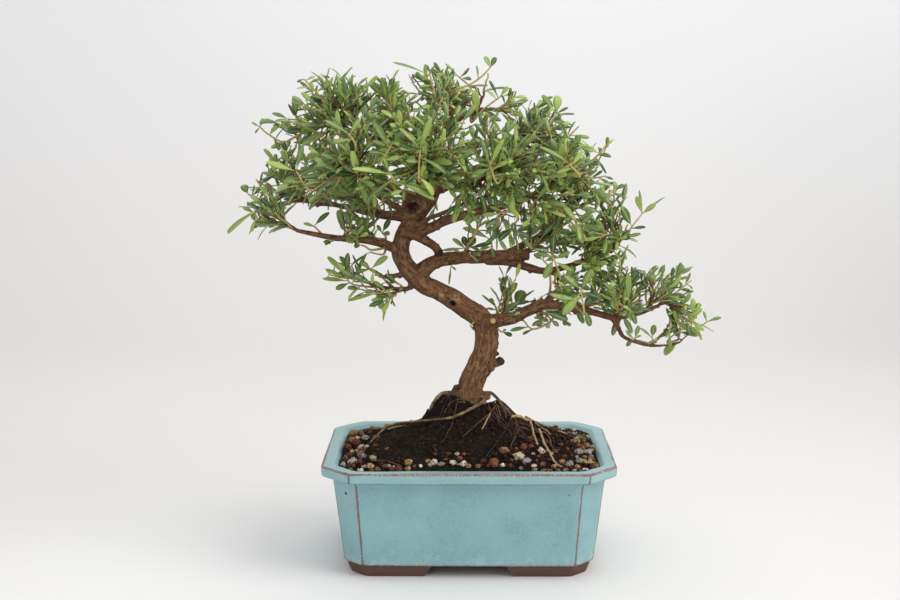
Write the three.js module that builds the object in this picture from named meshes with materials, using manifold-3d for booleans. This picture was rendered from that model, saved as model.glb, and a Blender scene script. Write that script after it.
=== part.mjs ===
// Coprosma bonsai: a small evergreen tree in a shallow rectangular pot with cut corners.
// Millimetres, +Z up, +X to the right and +Y away from the front of the pot.
// All places below are measured from the centre of the pot's foot. The finished group is then
// shifted so that the origin is the bottom centre of the whole object's box.

import * as THREE from 'three';
import { mergeVertices } from 'three/addons/utils/BufferGeometryUtils.js';
import Module from 'manifold-3d';

const wasm = await Module();
wasm.setup();

// Pot
const RIM_WIDTH = 160;
const RIM_DEPTH = 117;
const RIM_HEIGHT = 61.5;
const CORNER_CUT = 16;
const CORNER_SHRINK = 0.45;
const FOOT_HEIGHT = 7;
const FLOOR_TOP = 13;
const LIP_WIDTH = 9;
const FLOOR_INSET = 17;
const FOOT_RING_WIDTH = 12;
const FRONT_SLOT = 40;
const SIDE_SLOT = 28;
const SLOT_SLANT = 5;
const DRAIN_RADIUS = 7;
const DRAIN_OFFSET = 30;
const DRAIN_SIDES = 12;

// Drain mesh
const MESH_SIZE = 22;
const MESH_THICK = 1.2;
const MESH_HOLE = 7;
const MESH_PITCH = 9.4;
const MESH_HOLES = 2;

// Soil and grit
const SOIL_EDGE = 58.5;
const MOUND_HEIGHT = 19;
const MOUND_RADIUS_X = 58;
const MOUND_RADIUS_Y = 42;
const MOUND_POWER = 1.4;
const COLLAR_HEIGHT = 8;
const COLLAR_RADIUS = 16;
const BUMP = 0.7;
const SOIL_CELLS_X = 12;
const SOIL_CELLS_Y = 8;

// Leafy stems
const LEAFY_LENGTH = 27;
const STEM_RADIUS = 0.85;
const STEM_TIP_RADIUS = 0.45;
const STEM_STEPS = 4;
const FOOT_SHARE = 0.12;
const MOST_BURIED = 0.6;
const FORK_STEPS = 4;
const LOWEST_STEM = 125;
const SHORTEST_STEM = 14;
const DEPARTURE_SHARES = [0.1, 0.35, 0.6, 0.85];
const LEADER_NODES = 5;
const TIP_LEAF = { lean: [0.3, 0.66], length: [9, 14] };
const STEM_LEAF = { lean: [0.75, 1.25], length: [12.5, 19.5] };
const LEAF_WIDTH_BASE = 1.6;
const LEAF_WIDTH_SHARE = 0.22;
const LEAF_DROOP = 0.1;
const BLADE_THICK = 0.78;
const LEAF_FREE_FROM = 0.22;
const TRIES = 9;

// Space kept between pieces that nearly touch
const GAP = 0.3;
const CLEARANCE = 0.35;

const UP = new THREE.Vector3(0, 0, 1);

// Numbers between 0 and 1 that look random but are the same on every run
function chance(...keys) {
  let hash = 2166136261;
  for (const key of keys) {
    hash = Math.imul(hash ^ (key + 1), 16777619);
    hash ^= hash >>> 13;
    hash = Math.imul(hash, 0x5bd1e995);
    hash ^= hash >>> 15;
  }
  return (hash >>> 0) / 4294967296;
}

function between(low, high, share) {
  return low + (high - low) * share;
}

function vector(point) {
  return new THREE.Vector3(...point);
}

// Solids
function solidFrom(positions, triangles) {
  return new wasm.Manifold(new wasm.Mesh({
    numProp: 3,
    vertProperties: Float32Array.from(positions),
    triVerts: Uint32Array.from(triangles),
  }));
}

function solidOf(geometry) {
  geometry.deleteAttribute('normal');
  geometry.deleteAttribute('uv');
  const merged = mergeVertices(geometry);
  return solidFrom(merged.attributes.position.array, merged.index.array);
}

function geometryOf(solid) {
  const mesh = solid.getMesh();
  const geometry = new THREE.BufferGeometry();
  geometry.setAttribute('position', new THREE.BufferAttribute(mesh.vertProperties, 3));
  geometry.setIndex(new THREE.BufferAttribute(mesh.triVerts, 1));
  return geometry;
}

function joined(solids) {
  return solids.reduce((whole, solid) => whole.add(solid));
}

// A closed skin over rings of points, each ring anticlockwise seen from the last one
function loft(rings) {
  const count = rings[0].length;
  const last = (rings.length - 1) * count;
  const triangles = [];
  for (let ring = 0; ring < rings.length - 1; ring += 1) {
    for (let i = 0; i < count; i += 1) {
      const a = ring * count + i;
      const b = ring * count + ((i + 1) % count);
      triangles.push(a, b, b + count, a, b + count, a + count);
    }
  }
  for (let i = 1; i < count - 1; i += 1) {
    triangles.push(0, i + 1, i, last, last + i, last + i + 1);
  }
  return solidFrom(rings.flat().flatMap((point) => point.toArray()), triangles);
}

// A tapered tube through a list of points, with one radius for each point
function tube(points, radii, sides, turn = 0) {
  const rings = [];
  let side = new THREE.Vector3(0.31, -0.95, 0.05);
  points.forEach((point, i) => {
    const before = points[Math.max(i - 1, 0)];
    const after = points[Math.min(i + 1, points.length - 1)];
    const along = after.clone().sub(before).normalize();
    side = side.clone().addScaledVector(along, -side.dot(along)).normalize();
    const across = along.clone().cross(side);
    const ring = [];
    for (let k = 0; k < sides; k += 1) {
      const angle = turn + (2 * Math.PI * k) / sides;
      ring.push(point.clone()
        .addScaledVector(side, radii[i] * Math.cos(angle))
        .addScaledVector(across, radii[i] * Math.sin(angle)));
    }
    rings.push(ring);
  });
  return loft(rings);
}

function taper(start, end, count) {
  return Array.from({ length: count }, (_, i) => between(start, end, i / (count - 1)));
}

// Pot: every level is a rectangle with its four corners cut off, set in from the rim
function octagon(inset, z) {
  const x = RIM_WIDTH / 2 - inset;
  const y = RIM_DEPTH / 2 - inset;
  const cut = CORNER_CUT - CORNER_SHRINK * inset;
  return [
    [x, -y + cut], [x, y - cut], [x - cut, y], [-x + cut, y],
    [-x, y - cut], [-x, -y + cut], [-x + cut, -y], [x - cut, -y],
  ].map(([px, py]) => new THREE.Vector3(px, py, z));
}

function levels(profile) {
  return loft(profile.map(([inset, z]) => octagon(inset, z)));
}

function slot(halfBottom, halfTop, reach, turned) {
  const outline = new THREE.Shape([
    new THREE.Vector2(-halfBottom, -1),
    new THREE.Vector2(halfBottom, -1),
    new THREE.Vector2(halfTop, FOOT_HEIGHT),
    new THREE.Vector2(-halfTop, FOOT_HEIGHT),
  ]);
  const geometry = new THREE.ExtrudeGeometry(outline, { depth: 2 * reach, bevelEnabled: false });
  geometry.translate(0, 0, -reach);
  geometry.rotateX(Math.PI / 2);
  if (turned) {
    geometry.rotateZ(Math.PI / 2);
  }
  return solidOf(geometry);
}

function drainHole(x) {
  const geometry = new THREE.CylinderGeometry(DRAIN_RADIUS, DRAIN_RADIUS, 4 * FOOT_HEIGHT, DRAIN_SIDES);
  geometry.rotateX(Math.PI / 2);
  geometry.translate(x, 0, FOOT_HEIGHT);
  return solidOf(geometry);
}

// The hollow of the pot, made smaller all round by the given amount
function potHollow(shrink, top) {
  return levels([
    [FLOOR_INSET + shrink, FLOOR_TOP + shrink],
    [LIP_WIDTH + 2 + shrink, 50],
    [LIP_WIDTH + shrink, 57],
    [LIP_WIDTH + shrink, top],
  ]);
}

function makePot() {
  const body = levels([
    [15.3, 0], [12.8, FOOT_HEIGHT - 0.4], [11.7, FOOT_HEIGHT], [6.4, 52.5], [5.2, 54.4], [1.2, 55.5],
    [0.3, 56.2], [0, 60.6], [0.8, RIM_HEIGHT], [4, RIM_HEIGHT], [LIP_WIDTH, RIM_HEIGHT - 3],
  ]);
  const underside = levels([[15.3 + FOOT_RING_WIDTH, -1], [12.8 + FOOT_RING_WIDTH, FOOT_HEIGHT]]);
  return body
    .subtract(potHollow(0, RIM_HEIGHT + 5))
    .subtract(underside)
    .subtract(slot(FRONT_SLOT / 2 + SLOT_SLANT, FRONT_SLOT / 2, RIM_DEPTH, false))
    .subtract(slot(SIDE_SLOT / 2 + SLOT_SLANT, SIDE_SLOT / 2, RIM_WIDTH, true))
    .subtract(drainHole(-DRAIN_OFFSET))
    .subtract(drainHole(DRAIN_OFFSET));
}

function boxAt(width, depth, height, x, y, z) {
  const geometry = new THREE.BoxGeometry(width, depth, height);
  geometry.translate(x, y, z);
  return solidOf(geometry);
}

// A square of plastic netting that lies over a drain hole
function makeDrainMesh(x) {
  const middle = FLOOR_TOP + GAP + MESH_THICK / 2;
  let sheet = boxAt(MESH_SIZE, MESH_SIZE, MESH_THICK, x, 0, middle);
  for (let i = 0; i < MESH_HOLES; i += 1) {
    for (let j = 0; j < MESH_HOLES; j += 1) {
      const holeX = x + (i - (MESH_HOLES - 1) / 2) * MESH_PITCH;
      const holeY = (j - (MESH_HOLES - 1) / 2) * MESH_PITCH;
      sheet = sheet.subtract(boxAt(MESH_HOLE, MESH_HOLE, 2 * MESH_THICK, holeX, holeY, middle));
    }
  }
  return sheet;
}

function meshPocket(x) {
  const side = MESH_SIZE + 2 * GAP;
  return boxAt(side, side, MESH_THICK + 2 * GAP, x, 0, FLOOR_TOP + GAP + MESH_THICK / 2);
}

// Height of the soil: level at the walls, a broad mound, and a collar round the trunk
function soilHeight(x, y) {
  const away = Math.hypot(x / MOUND_RADIUS_X, y / MOUND_RADIUS_Y) ** (2 * MOUND_POWER);
  const near = (x * x + y * y) / COLLAR_RADIUS ** 2;
  const bumps = Math.sin(x * 0.31 + 1.3) * Math.cos(y * 0.37) + Math.sin(x * 0.17 - y * 0.23);
  return SOIL_EDGE + MOUND_HEIGHT * Math.exp(-away) + COLLAR_HEIGHT * Math.exp(-near) + BUMP * bumps;
}

function soilBlock() {
  const width = RIM_WIDTH - LIP_WIDTH;
  const depth = RIM_DEPTH - LIP_WIDTH;
  const columns = SOIL_CELLS_X + 1;
  const rows = SOIL_CELLS_Y + 1;
  const positions = [];
  const triangles = [];
  for (const top of [true, false]) {
    for (let j = 0; j < rows; j += 1) {
      for (let i = 0; i < columns; i += 1) {
        const x = (i / SOIL_CELLS_X - 0.5) * width;
        const y = (j / SOIL_CELLS_Y - 0.5) * depth;
        positions.push(x, y, top ? soilHeight(x, y) : 0);
      }
    }
  }
  const under = columns * rows;
  for (let j = 0; j < SOIL_CELLS_Y; j += 1) {
    for (let i = 0; i < SOIL_CELLS_X; i += 1) {
      const a = j * columns + i;
      const b = a + 1;
      const c = a + columns;
      const d = c + 1;
      triangles.push(a, b, d, a, d, c);
      triangles.push(under + a, under + d, under + b, under + a, under + c, under + d);
    }
  }
  const edge = [];
  for (let i = 0; i < SOIL_CELLS_X; i += 1) edge.push(i);
  for (let j = 0; j < SOIL_CELLS_Y; j += 1) edge.push(j * columns + SOIL_CELLS_X);
  for (let i = SOIL_CELLS_X; i > 0; i -= 1) edge.push(SOIL_CELLS_Y * columns + i);
  for (let j = SOIL_CELLS_Y; j > 0; j -= 1) edge.push(j * columns);
  edge.forEach((a, i) => {
    const b = edge[(i + 1) % edge.length];
    triangles.push(a, under + a, under + b, a, under + b, b);
  });
  return solidFrom(positions, triangles);
}

// Grit: [centre x, centre y, half spread x, half spread y, stones]
const GRIT = [
  [0, -43, 60, 3, 13],
  [-60, -14, 4, 22, 5],
  [60, -20, 4, 16, 5],
  [0, 43, 56, 3, 5],
  [26, -30, 22, 7, 2],
];

function gritStones() {
  const stones = [];
  GRIT.forEach(([cx, cy, spreadX, spreadY, count], group) => {
    for (let i = 0; i < count; i += 1) {
      const x = cx + spreadX * ((2 * (i + chance(1, group, i))) / count - 1) * (spreadX > spreadY ? 1 : 0.6);
      const along = spreadX > spreadY ? chance(2, group, i) : (i + chance(3, group, i)) / count;
      const y = cy + spreadY * (2 * along - 1);
      const size = between(1.9, 3.2, chance(4, group, i));
      const stone = new THREE.IcosahedronGeometry(size, 0);
      stone.scale(1, between(0.7, 0.95, chance(5, group, i)), 0.75);
      stone.rotateZ(Math.PI * chance(6, group, i));
      stone.rotateX(0.6 * (chance(7, group, i) - 0.5));
      stone.translate(x, y, soilHeight(x, y) + 0.3 * size);
      stones.push(solidOf(stone));
    }
  });
  return stones;
}

// Wood: [name, sides, first radius, last radius, points]
const TRUNK_POINTS = [
  [-1, 0, 70], [-0.5, 0, 82], [0, 0, 94.5], [3.4, 0, 104.8], [8.4, 0, 114.5], [10.1, 0, 124.8],
  [7.8, 0, 133], [1, 0, 139], [-15.6, 0, 149.5], [-25.1, 0, 154.2], [-32.5, 0, 161],
  [-37, 0, 169], [-37.6, 0, 177], [-33.5, 1, 186.5], [-24, 3, 200.5], [-20, 4, 210], [-18, 5, 228],
  [-9.5, 3, 247.9],
];
const TRUNK_RADII = [
  9.4, 8.6, 7.5, 7, 6.7, 6.5, 6, 5.6, 5.3, 5.2, 5.1, 5, 4.8, 4.5, 3.8, 3.3, 2.5, 1.2,
];
const LIMBS = [
  ['low_right', 5, 4, 1.6, [[8, 0, 129], [13, -1, 133], [23.9, -3, 135.5], [33.7, -5, 140.4], [41.9, -7, 144.1],
    [50.1, -8, 143.1], [61, -9, 141.6], [72, -10, 139], [82.3, -12, 136]]],
  ['droop', 4, 1.6, 0.9, [[80, -11.6, 136.6], [83.9, -13, 130.6], [87.7, -14, 126.8], [93.7, -15, 123.7],
    [100.2, -16, 122.2], [108.6, -15, 122.6]]],
  ['rise', 4, 1.6, 0.9, [[78, -12, 137.1], [91.3, -10, 139], [99.8, -8, 141.4], [106, -6, 144]]],
  ['mid_right', 5, 4, 3.2, [[-30, 0, 157], [-22.8, 2, 164], [-16.2, 3, 167.2], [-7.8, 5, 168.1], [3.4, 7, 168.4],
    [14.6, 8, 168.8], [23, 9, 166.4], [33.8, 10, 161.8]]],
  ['mid_right_tip', 4, 2.6, 1, [[28, 9.5, 164.3], [43.3, 10, 160.1], [55.6, 9, 163], [65, 8, 166.6],
    [75.3, 6, 171.9], [84.1, 5, 176]]],
  ['mid_up', 4, 2.3, 1.1, [[18, 8.5, 168.2], [31.1, 14, 174.8], [40.8, 18, 179.5], [49.5, 22, 185.3],
    [58, 20, 192]]],
  ['bridge', 5, 2.8, 2.2, [[-37.1, -1, 183.4], [-30.4, -4, 182], [-22.7, -3, 178], [-18.4, 0, 174.3],
    [-15.6, 3, 168.5]]],
  ['upper_right', 5, 3.1, 1.1, [[-34.5, 0, 181.8], [-21.6, -5, 186], [-13.3, -9, 190.3], [-4.1, -13, 193.5],
    [7.2, -17, 197.1], [18.9, -20, 199.6], [29.6, -22, 203.5], [41.8, -22, 209.4], [52, -20, 214]]],
  ['left_low', 4, 2.7, 1, [[-36.5, 0, 172], [-48.5, -5, 177.7], [-59.3, -9, 179.9], [-72.6, -13, 181.4],
    [-84.8, -16, 184], [-94, -17, 186]]],
  ['left_mid', 4, 3, 1, [[-29, 1, 191.6], [-40, 4, 191.7], [-48.4, 7, 192], [-57.4, 9, 193.4], [-67, 11, 195.5],
    [-76, 12, 197.1], [-88, 9, 198]]],
  ['low_twig', 4, 1.6, 0.9, [[-30, 0, 155], [-35, -3, 151.8], [-45.9, -7, 153], [-52, -8.5, 154.4]]],
  ['short_twig', 4, 1.5, 0.9, [[-33, 0, 160.2], [-45.2, -8, 159.3], [-50, -9.5, 160]]],
  ['top_right', 4, 1.5, 1, [[-13.3, 4, 239.1], [-4.1, 0, 245.8], [2, -1.5, 248.2]]],
  ['top_left', 4, 2.5, 1.2, [[-20, 4, 211], [-29, 2, 221], [-42, -3, 230], [-55, -6, 236], [-67, -8, 240]]],
  ['left_back', 4, 2.4, 1.1, [[-30, 1, 191], [-42, 18, 196], [-56, 32, 203], [-66, 37, 207]]],
  ['left_front', 4, 2.4, 1.1, [[-26, 1, 198], [-35, -18, 206], [-47, -33, 213], [-58, -38, 217]]],
  ['front', 4, 2.3, 1.1, [[-26, 0, 196], [-27, -18, 207], [-26, -34, 216], [-21, -42, 221]]],
  ['right_front', 4, 2.4, 1.1, [[-23, 3, 203], [-8, -16, 211], [6, -30, 215], [16, -36, 217]]],
  ['right_back', 4, 2.4, 1.1, [[-19.5, 4, 214], [-8, 24, 214], [9, 38, 216], [22, 42, 217]]],
  ['back', 4, 2.4, 1.1, [[-36.5, 2, 177], [-32.1, 18, 185.2], [-24.9, 32, 195.1], [-19, 40, 203]]],
  ['right_top', 4, 2.4, 1, [[-18.5, 5, 222], [-4, 8, 228], [13, 10, 232], [26, 10, 234]]],
  ['left_back_top', 4, 2, 1, [[-18, 5, 227], [-27, 20, 233], [-36, 30, 237]]],
];
const TRUNK_SIDES = 8;
const CUT_STUB = [[8, -2, 127], [9.5, -5, 133], [10, -6.5, 136.5]];
const CUT_STUB_RADII = [3.4, 3, 2.7];
const WOUND_PLACE = [-29, -5.5, 190];
const WOUND_RADIUS = 4;

const ROOT_SIDES = 4;

// Roots that show on the mound: [first radius, last radius, points]
const ROOTS = [
  [2.4, 1.2, [[8, -3, 90], [1, -9, 86], [-7, -11, 83], [-15, -10, 79.6], [-22, -9, 77.6], [-30, -6, 75.5],
    [-40, -1, 73.6], [-49, -1, 69], [-55, -5, 65], [-58, -10, 61]]],
  [4, 2, [[-3, 1, 91], [-11, 0, 91.5], [-16, -1, 88.5], [-20, -2, 83.5], [-23, -3, 77]]],
  [0.9, 0.8, [[5, -6, 90], [-1, -9, 90.4], [-7, -8.5, 88.5], [-12, -8.5, 84], [-14, -9, 79]]],
  [1.8, 1.2, [[5, -1, 91.5], [13, -1, 92], [17, -2, 89], [21, -3, 84], [25, -3, 78], [27, -4, 74]]],
  [1.6, 0.9, [[16, 0, 88], [22, 2, 82.5], [31, 2, 79.5], [35, 0, 77], [36, -8, 75.3], [36.5, -17, 72.5],
    [38, -26, 67]]],
  [1.2, 1.2, [[34, 0, 77.5], [39, -12, 73.8], [42, -26, 69.3], [45, -35, 65.6], [48, -44, 60]]],
  [1.5, 0.9, [[24, 2, 81.5], [32, 6, 78.3], [40, 9, 74.6], [49, 10, 70], [57, 6, 66], [62, 3, 62]]],
  [0.9, 0.8, [[16.8, -1.6, 89.2], [12, -9, 85], [4, -19, 80.5], [-4, -28, 75.5], [-6, -31, 72]]],
];

const limbPaths = LIMBS.map(([, , , , points]) => points.map(vector));
const woodPaths = [TRUNK_POINTS.map(vector), ...limbPaths];
const woodRadii = [TRUNK_RADII, ...LIMBS.map(([, , first, last, points]) => taper(first, last, points.length))];

// Leafy stems: the tips of each spray; a second tip forks from the first one's stem
const SPRAYS = [
  [[-116, -8, 199], [-116, -19, 188]],
  [[-113, 13, 206]],
  [[-105, -6, 221]],
  [[-88, -36, 216], [-79, -40, 205]],
  [[-93, 34, 200]],
  [[-88, -4, 241]],
  [[-84, 16, 251]],
  [[-68, -16, 254]],
  [[-66, 8, 260], [-52, -4, 259]],
  [[-90, 30, 229]],
  [[-69, -42, 231], [-54, -44, 244]],
  [[-62, 40, 243]],
  [[-38, -26, 255]],
  [[-18, -8, 261], [-33, 8, 262]],
  [[-41, 44, 249]],
  [[-22, -42, 249], [-8, -36, 247]],
  [[-6, 16, 258], [9, 24, 247]],
  [[10, 0, 270]],
  [[-14, 44, 249]],
  [[-56, -54, 216], [-38, -52, 209]],
  [[-40, -56, 233]],
  [[-24, -64, 226]],
  [[-8, -58, 233]],
  [[10, -56, 226], [-6, -46, 211]],
  [[-75, 54, 219], [-79, 48, 199]],
  [[-42, 60, 229]],
  [[-10, 62, 231], [-22, 54, 204]],
  [[22, 60, 226]],
  [[46, 50, 212]],
  [[10, 52, 197]],
  [[20, -14, 250]],
  [[34, 8, 245]],
  [[43, -20, 238]],
  [[52, 26, 233]],
  [[26, -44, 231]],
  [[47, -42, 220]],
  [[62, 2, 225], [69, -20, 212]],
  [[70, 24, 207]],
  [[36, -38, 202], [16, -32, 192]],
  [[77, 0, 197], [72, -12, 182]],
  [[98, 5, 192]],
  [[41, 34, 182]],
  [[52, -24, 156]],
  [[72, 14, 157]],
  [[86, -30, 150]],
  [[104, -12, 158], [120, 6, 148]],
  [[127, -10, 134], [104, -22, 129]],
  [[86, 14, 136]],
  [[24, 4, 143]],
  [[46, 6, 130]],
  [[-67, -12, 159]],
  [[-47, -10, 148]],
  [[-64, -28, 188]],
];

// Where a leafy stem leaves the wood: the near place whose limb already heads towards the tip
function departure(tip) {
  let best = { cost: Infinity };
  woodPaths.forEach((path, limb) => {
    for (let i = 0; i < path.length - 1; i += 1) {
      const along = path[i + 1].clone().sub(path[i]).normalize();
      for (const share of DEPARTURE_SHARES) {
        const place = path[i].clone().lerp(path[i + 1], share);
        const reach = tip.clone().sub(place);
        const distance = reach.length();
        const turning = 1 - along.dot(reach) / distance;
        const cost = distance * (1 + 0.55 * turning) + (distance < SHORTEST_STEM ? 40 : 0);
        if (place.z > LOWEST_STEM && cost < best.cost) {
          best = { cost, place, along, radius: between(woodRadii[limb][i], woodRadii[limb][i + 1], share) };
        }
      }
    }
  });
  return best;
}

// A stem's path: it leaves along what it grows from, bows a little to one side and turns up to its tip
function stemPath(start, along, tip, bow) {
  const span = start.distanceTo(tip);
  const aside = along.clone().cross(tip.clone().sub(start)).normalize();
  const knee = start.clone().addScaledVector(along, 0.3 * span).addScaledVector(UP, 0.1 * span)
    .addScaledVector(aside, bow * span);
  const curve = new THREE.QuadraticBezierCurve3(start, knee, tip);
  const length = (start.distanceTo(knee) + knee.distanceTo(tip) + span) / 2;
  return { curve, length };
}

function pathPoints(curve, from, to, steps) {
  return Array.from({ length: steps + 1 }, (_, i) => curve.getPoint(between(from, to, i / steps)));
}

// A leaf: a flat top that bends down, a keel point below it, and its root inside the stem
function blade({ root, along, top, length, width }, grow = 0) {
  const left = top.clone().cross(along);
  const at = (share, sideways, down) => root.clone()
    .addScaledVector(along, share * length)
    .addScaledVector(top, -LEAF_DROOP * length * share * share - down)
    .addScaledVector(left, sideways);
  const near = 0.45 * width + grow;
  const far = 0.42 * width + grow;
  const points = [
    at(0, 0, 0.1),
    at(0.42, near, -grow), at(0.42, -near, -grow),
    at(0.82, far, -grow), at(0.82, -far, -grow),
    at(0.58, 0, BLADE_THICK + grow),
    at(1 + grow / length, 0, -grow),
  ];
  return solidFrom(points.flatMap((point) => point.toArray()), [
    0, 2, 1, 1, 2, 4, 1, 4, 3, 3, 4, 6,
    0, 1, 5, 1, 3, 5, 3, 6, 5,
    0, 5, 2, 2, 5, 4, 4, 5, 6,
  ]);
}

// The part of a leaf that lies clear of its own stem
function outerPart(leaf) {
  const skipped = LEAF_FREE_FROM * leaf.length;
  return { ...leaf, root: leaf.root.clone().addScaledVector(leaf.along, skipped), length: leaf.length - skipped };
}

// The frame of a shoot at a share of its path: its direction, and two directions across it
function shootFrame(curve, share) {
  const along = curve.getTangent(share);
  const side = along.clone().cross(UP);
  if (side.lengthSq() < 0.01) side.set(1, 0, 0);
  side.normalize();
  return { place: curve.getPoint(share), along, side, lift: side.clone().cross(along) };
}

function across(frame, angle) {
  return frame.side.clone().multiplyScalar(Math.cos(angle)).addScaledVector(frame.lift, Math.sin(angle));
}

// One leaf of the opposite pair at a node of a shoot; a try other than 0 is bent clear
function leafAt(shoot, node, pairSide, attempt) {
  const { curve, from, nodes, keys } = shoot;
  const last = node === nodes - 1;
  const share = last ? 1 : between(from, 1, (node + 0.45) / (nodes - 0.6));
  const frame = shootFrame(curve, share);
  const spin = (chance(...keys, node, 11) - 0.5) * 0.8 + (Math.PI / 2) * node + Math.PI * pairSide;
  const turn = attempt === 0 ? 0 : 0.45 * Math.ceil(attempt / 2) * (attempt % 2 ? 1 : -1);
  const kind = last ? TIP_LEAF : STEM_LEAF;
  const lean = between(...kind.lean, chance(...keys, node, pairSide, 12));
  const length = between(...kind.length, chance(...keys, node, pairSide, 13));
  const outwards = across(frame, spin + turn);
  const along = frame.along.clone().multiplyScalar(Math.cos(lean)).addScaledVector(outwards, Math.sin(lean));
  const top = frame.along.clone().multiplyScalar(Math.sin(lean)).addScaledVector(outwards, -Math.cos(lean));
  top.addScaledVector(UP, 0.6).addScaledVector(along, -0.6 * along.z).normalize();
  return {
    root: frame.place.clone().addScaledVector(frame.along, last ? -0.3 : 0),
    along,
    top,
    length,
    width: LEAF_WIDTH_BASE + LEAF_WIDTH_SHARE * length,
  };
}

// Space already taken: small solids with their boxes and the node that they belong to
const taken = [];

function claim(solid, owner) {
  taken.push({ solid, owner, box: solid.boundingBox() });
}

function apart(a, b) {
  return a.min.some((low, i) => low > b.max[i]) || b.min.some((low, i) => low > a.max[i]);
}

function meets(solid, box, other) {
  return !apart(box, other.box) && !other.solid.intersect(solid).isEmpty();
}

function isFree(solid, owner) {
  const box = solid.boundingBox();
  return taken.every((other) => other.owner === owner || !meets(solid, box, other));
}

// True where the outer part of a leaf keeps off the other leaves and stems of its own spray
function isOpen(solid, owner) {
  const box = solid.boundingBox();
  return taken.every((other) => other.owner !== owner || !meets(solid, box, other));
}

// Builds something with try after try until it is clear of the other nodes
function firstFree(make, owner) {
  for (let attempt = 0; attempt < TRIES; attempt += 1) {
    const made = make(attempt);
    if ((!made.outer || isOpen(made.outer, owner)) && isFree(made.grown, owner)) {
      return made;
    }
  }
  return null;
}

function stemSolid(shoot, startRadius, start, steps, grow = 0) {
  const points = pathPoints(shoot.curve, start, 1, steps);
  return tube(points, taper(startRadius + grow, STEM_TIP_RADIUS + grow, steps + 1), 3);
}

// The foot of a stem, grown by the space that it keeps to the bark
function stemFoot(curve, share, radius) {
  const points = pathPoints(curve, share, share + FOOT_SHARE, 1);
  const back = points[0].clone().sub(points[1]).setLength(GAP);
  points[0].add(back);
  return tube(points, [radius + GAP, radius + GAP], 3);
}

// The first share of a path at which a stem's foot stands just clear of the bark
function clearOfWood(curve, radius, owner) {
  let share = 0;
  while (share < MOST_BURIED && !isFree(stemFoot(curve, share, radius), owner)) {
    share += 0.005;
  }
  return share;
}

// A bow that swings further to either side with each try
function bowOf(attempt) {
  return attempt === 0 ? 0 : 0.07 * Math.ceil(attempt / 2) * (attempt % 2 ? 1 : -1);
}

const WOOD = 'tree_wood';

function makeWood() {
  const limbs = woodPaths.map((path, i) => tube(path, woodRadii[i], i === 0 ? TRUNK_SIDES : LIMBS[i - 1][1]));
  const roots = ROOTS.map(([first, last, points]) => (
    tube(points.map(vector), taper(first, last, points.length), ROOT_SIDES)));
  const stub = tube(CUT_STUB.map(vector), CUT_STUB_RADII, 6);
  const wound = new THREE.IcosahedronGeometry(WOUND_RADIUS, 0);
  wound.scale(0.6, 0.8, 1);
  wound.translate(...WOUND_PLACE);
  limbs.forEach((solid) => claim(solid, WOOD));
  return joined([...limbs, stub, ...roots]).subtract(solidOf(wound));
}

// The ground that the trunk and roots take up in the soil, with a little space round them
function rootSpace() {
  const trunk = tube(woodPaths[0].slice(0, 3), TRUNK_RADII.slice(0, 3).map((r) => r + GAP), TRUNK_SIDES);
  const roots = ROOTS.map(([first, last, points]) => {
    const path = points.map(vector);
    const end = path[path.length - 1].clone().sub(path[path.length - 2]).normalize();
    path[path.length - 1].addScaledVector(end, GAP);
    return tube(path, taper(first + 1.6 * GAP, last + 1.6 * GAP, points.length), ROOT_SIDES);
  });
  const start = woodPaths[0][0].clone();
  start.z -= GAP;
  const foot = tube([start, woodPaths[0][1]], [TRUNK_RADII[0] + GAP, TRUNK_RADII[1] + GAP], TRUNK_SIDES);
  return joined([foot, trunk, ...roots]);
}

// Tie wire: a thin black wire that runs down the front of the mound, its ends in the soil
const WIRE_POINTS = [
  [27, -8, 71], [24.5, -8.8, 77.4], [21.5, -13, 77.2], [15, -29, 72.2], [10.3, -41, 66.8], [9.6, -43, 61.5],
];
const WIRE_RADIUS = 0.7;

function wireTube(radius) {
  return tube(WIRE_POINTS.map(vector), taper(radius, radius, WIRE_POINTS.length), 4);
}

// Seedling: two narrow leaves on a short stalk near the right-hand wall
const SEEDLING_PLACE = [62, -1];
const SEEDLING_LEAF = { length: 7.5, width: 2.2 };
const SEEDLING_HEIGHT = 4.5;
const SEEDLING_ROOT = 3;
const SEEDLING_STALK = 0.6;

// The stalk's foot in the soil and its crown, with some space added below and round it
function seedlingStalk(space) {
  const [x, y] = SEEDLING_PLACE;
  const ground = soilHeight(x, y);
  const foot = new THREE.Vector3(x, y, ground - SEEDLING_ROOT - space);
  const crown = new THREE.Vector3(x + 0.4, y, ground + SEEDLING_HEIGHT);
  const radius = SEEDLING_STALK + 1.5 * space;
  return { crown, stalk: tube([foot, crown], [radius, radius], 4) };
}

function makeSeedling() {
  const { crown, stalk } = seedlingStalk(0);
  const leaves = [-1, 1].map((hand) => {
    const along = new THREE.Vector3(hand * 0.75, -0.2, 0.62).normalize();
    const top = UP.clone().addScaledVector(along, -along.z).normalize();
    return blade({ root: crown, along, top, ...SEEDLING_LEAF });
  });
  return joined([stalk, ...leaves]);
}

const pot = makePot();
const wood = makeWood();
const wire = wireTube(WIRE_RADIUS);
const seedling = makeSeedling();
const soil = joined([soilBlock(), ...gritStones()])
  .intersect(potHollow(GAP, 200))
  .subtract(meshPocket(-DRAIN_OFFSET))
  .subtract(meshPocket(DRAIN_OFFSET))
  .subtract(rootSpace())
  .subtract(wireTube(WIRE_RADIUS + 1.5 * GAP))
  .subtract(seedlingStalk(GAP).stalk);

// Sprays: all first stems, then those that fork from them, then the leaves
const sprayParts = SPRAYS.map(() => []);
const stems = SPRAYS.map(() => []);

function growStem(spray, make) {
  const made = firstFree(make, spray);
  claim(made.solid, spray);
  sprayParts[spray].push(made.solid);
  stems[spray].push(made.shoot);
}

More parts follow.
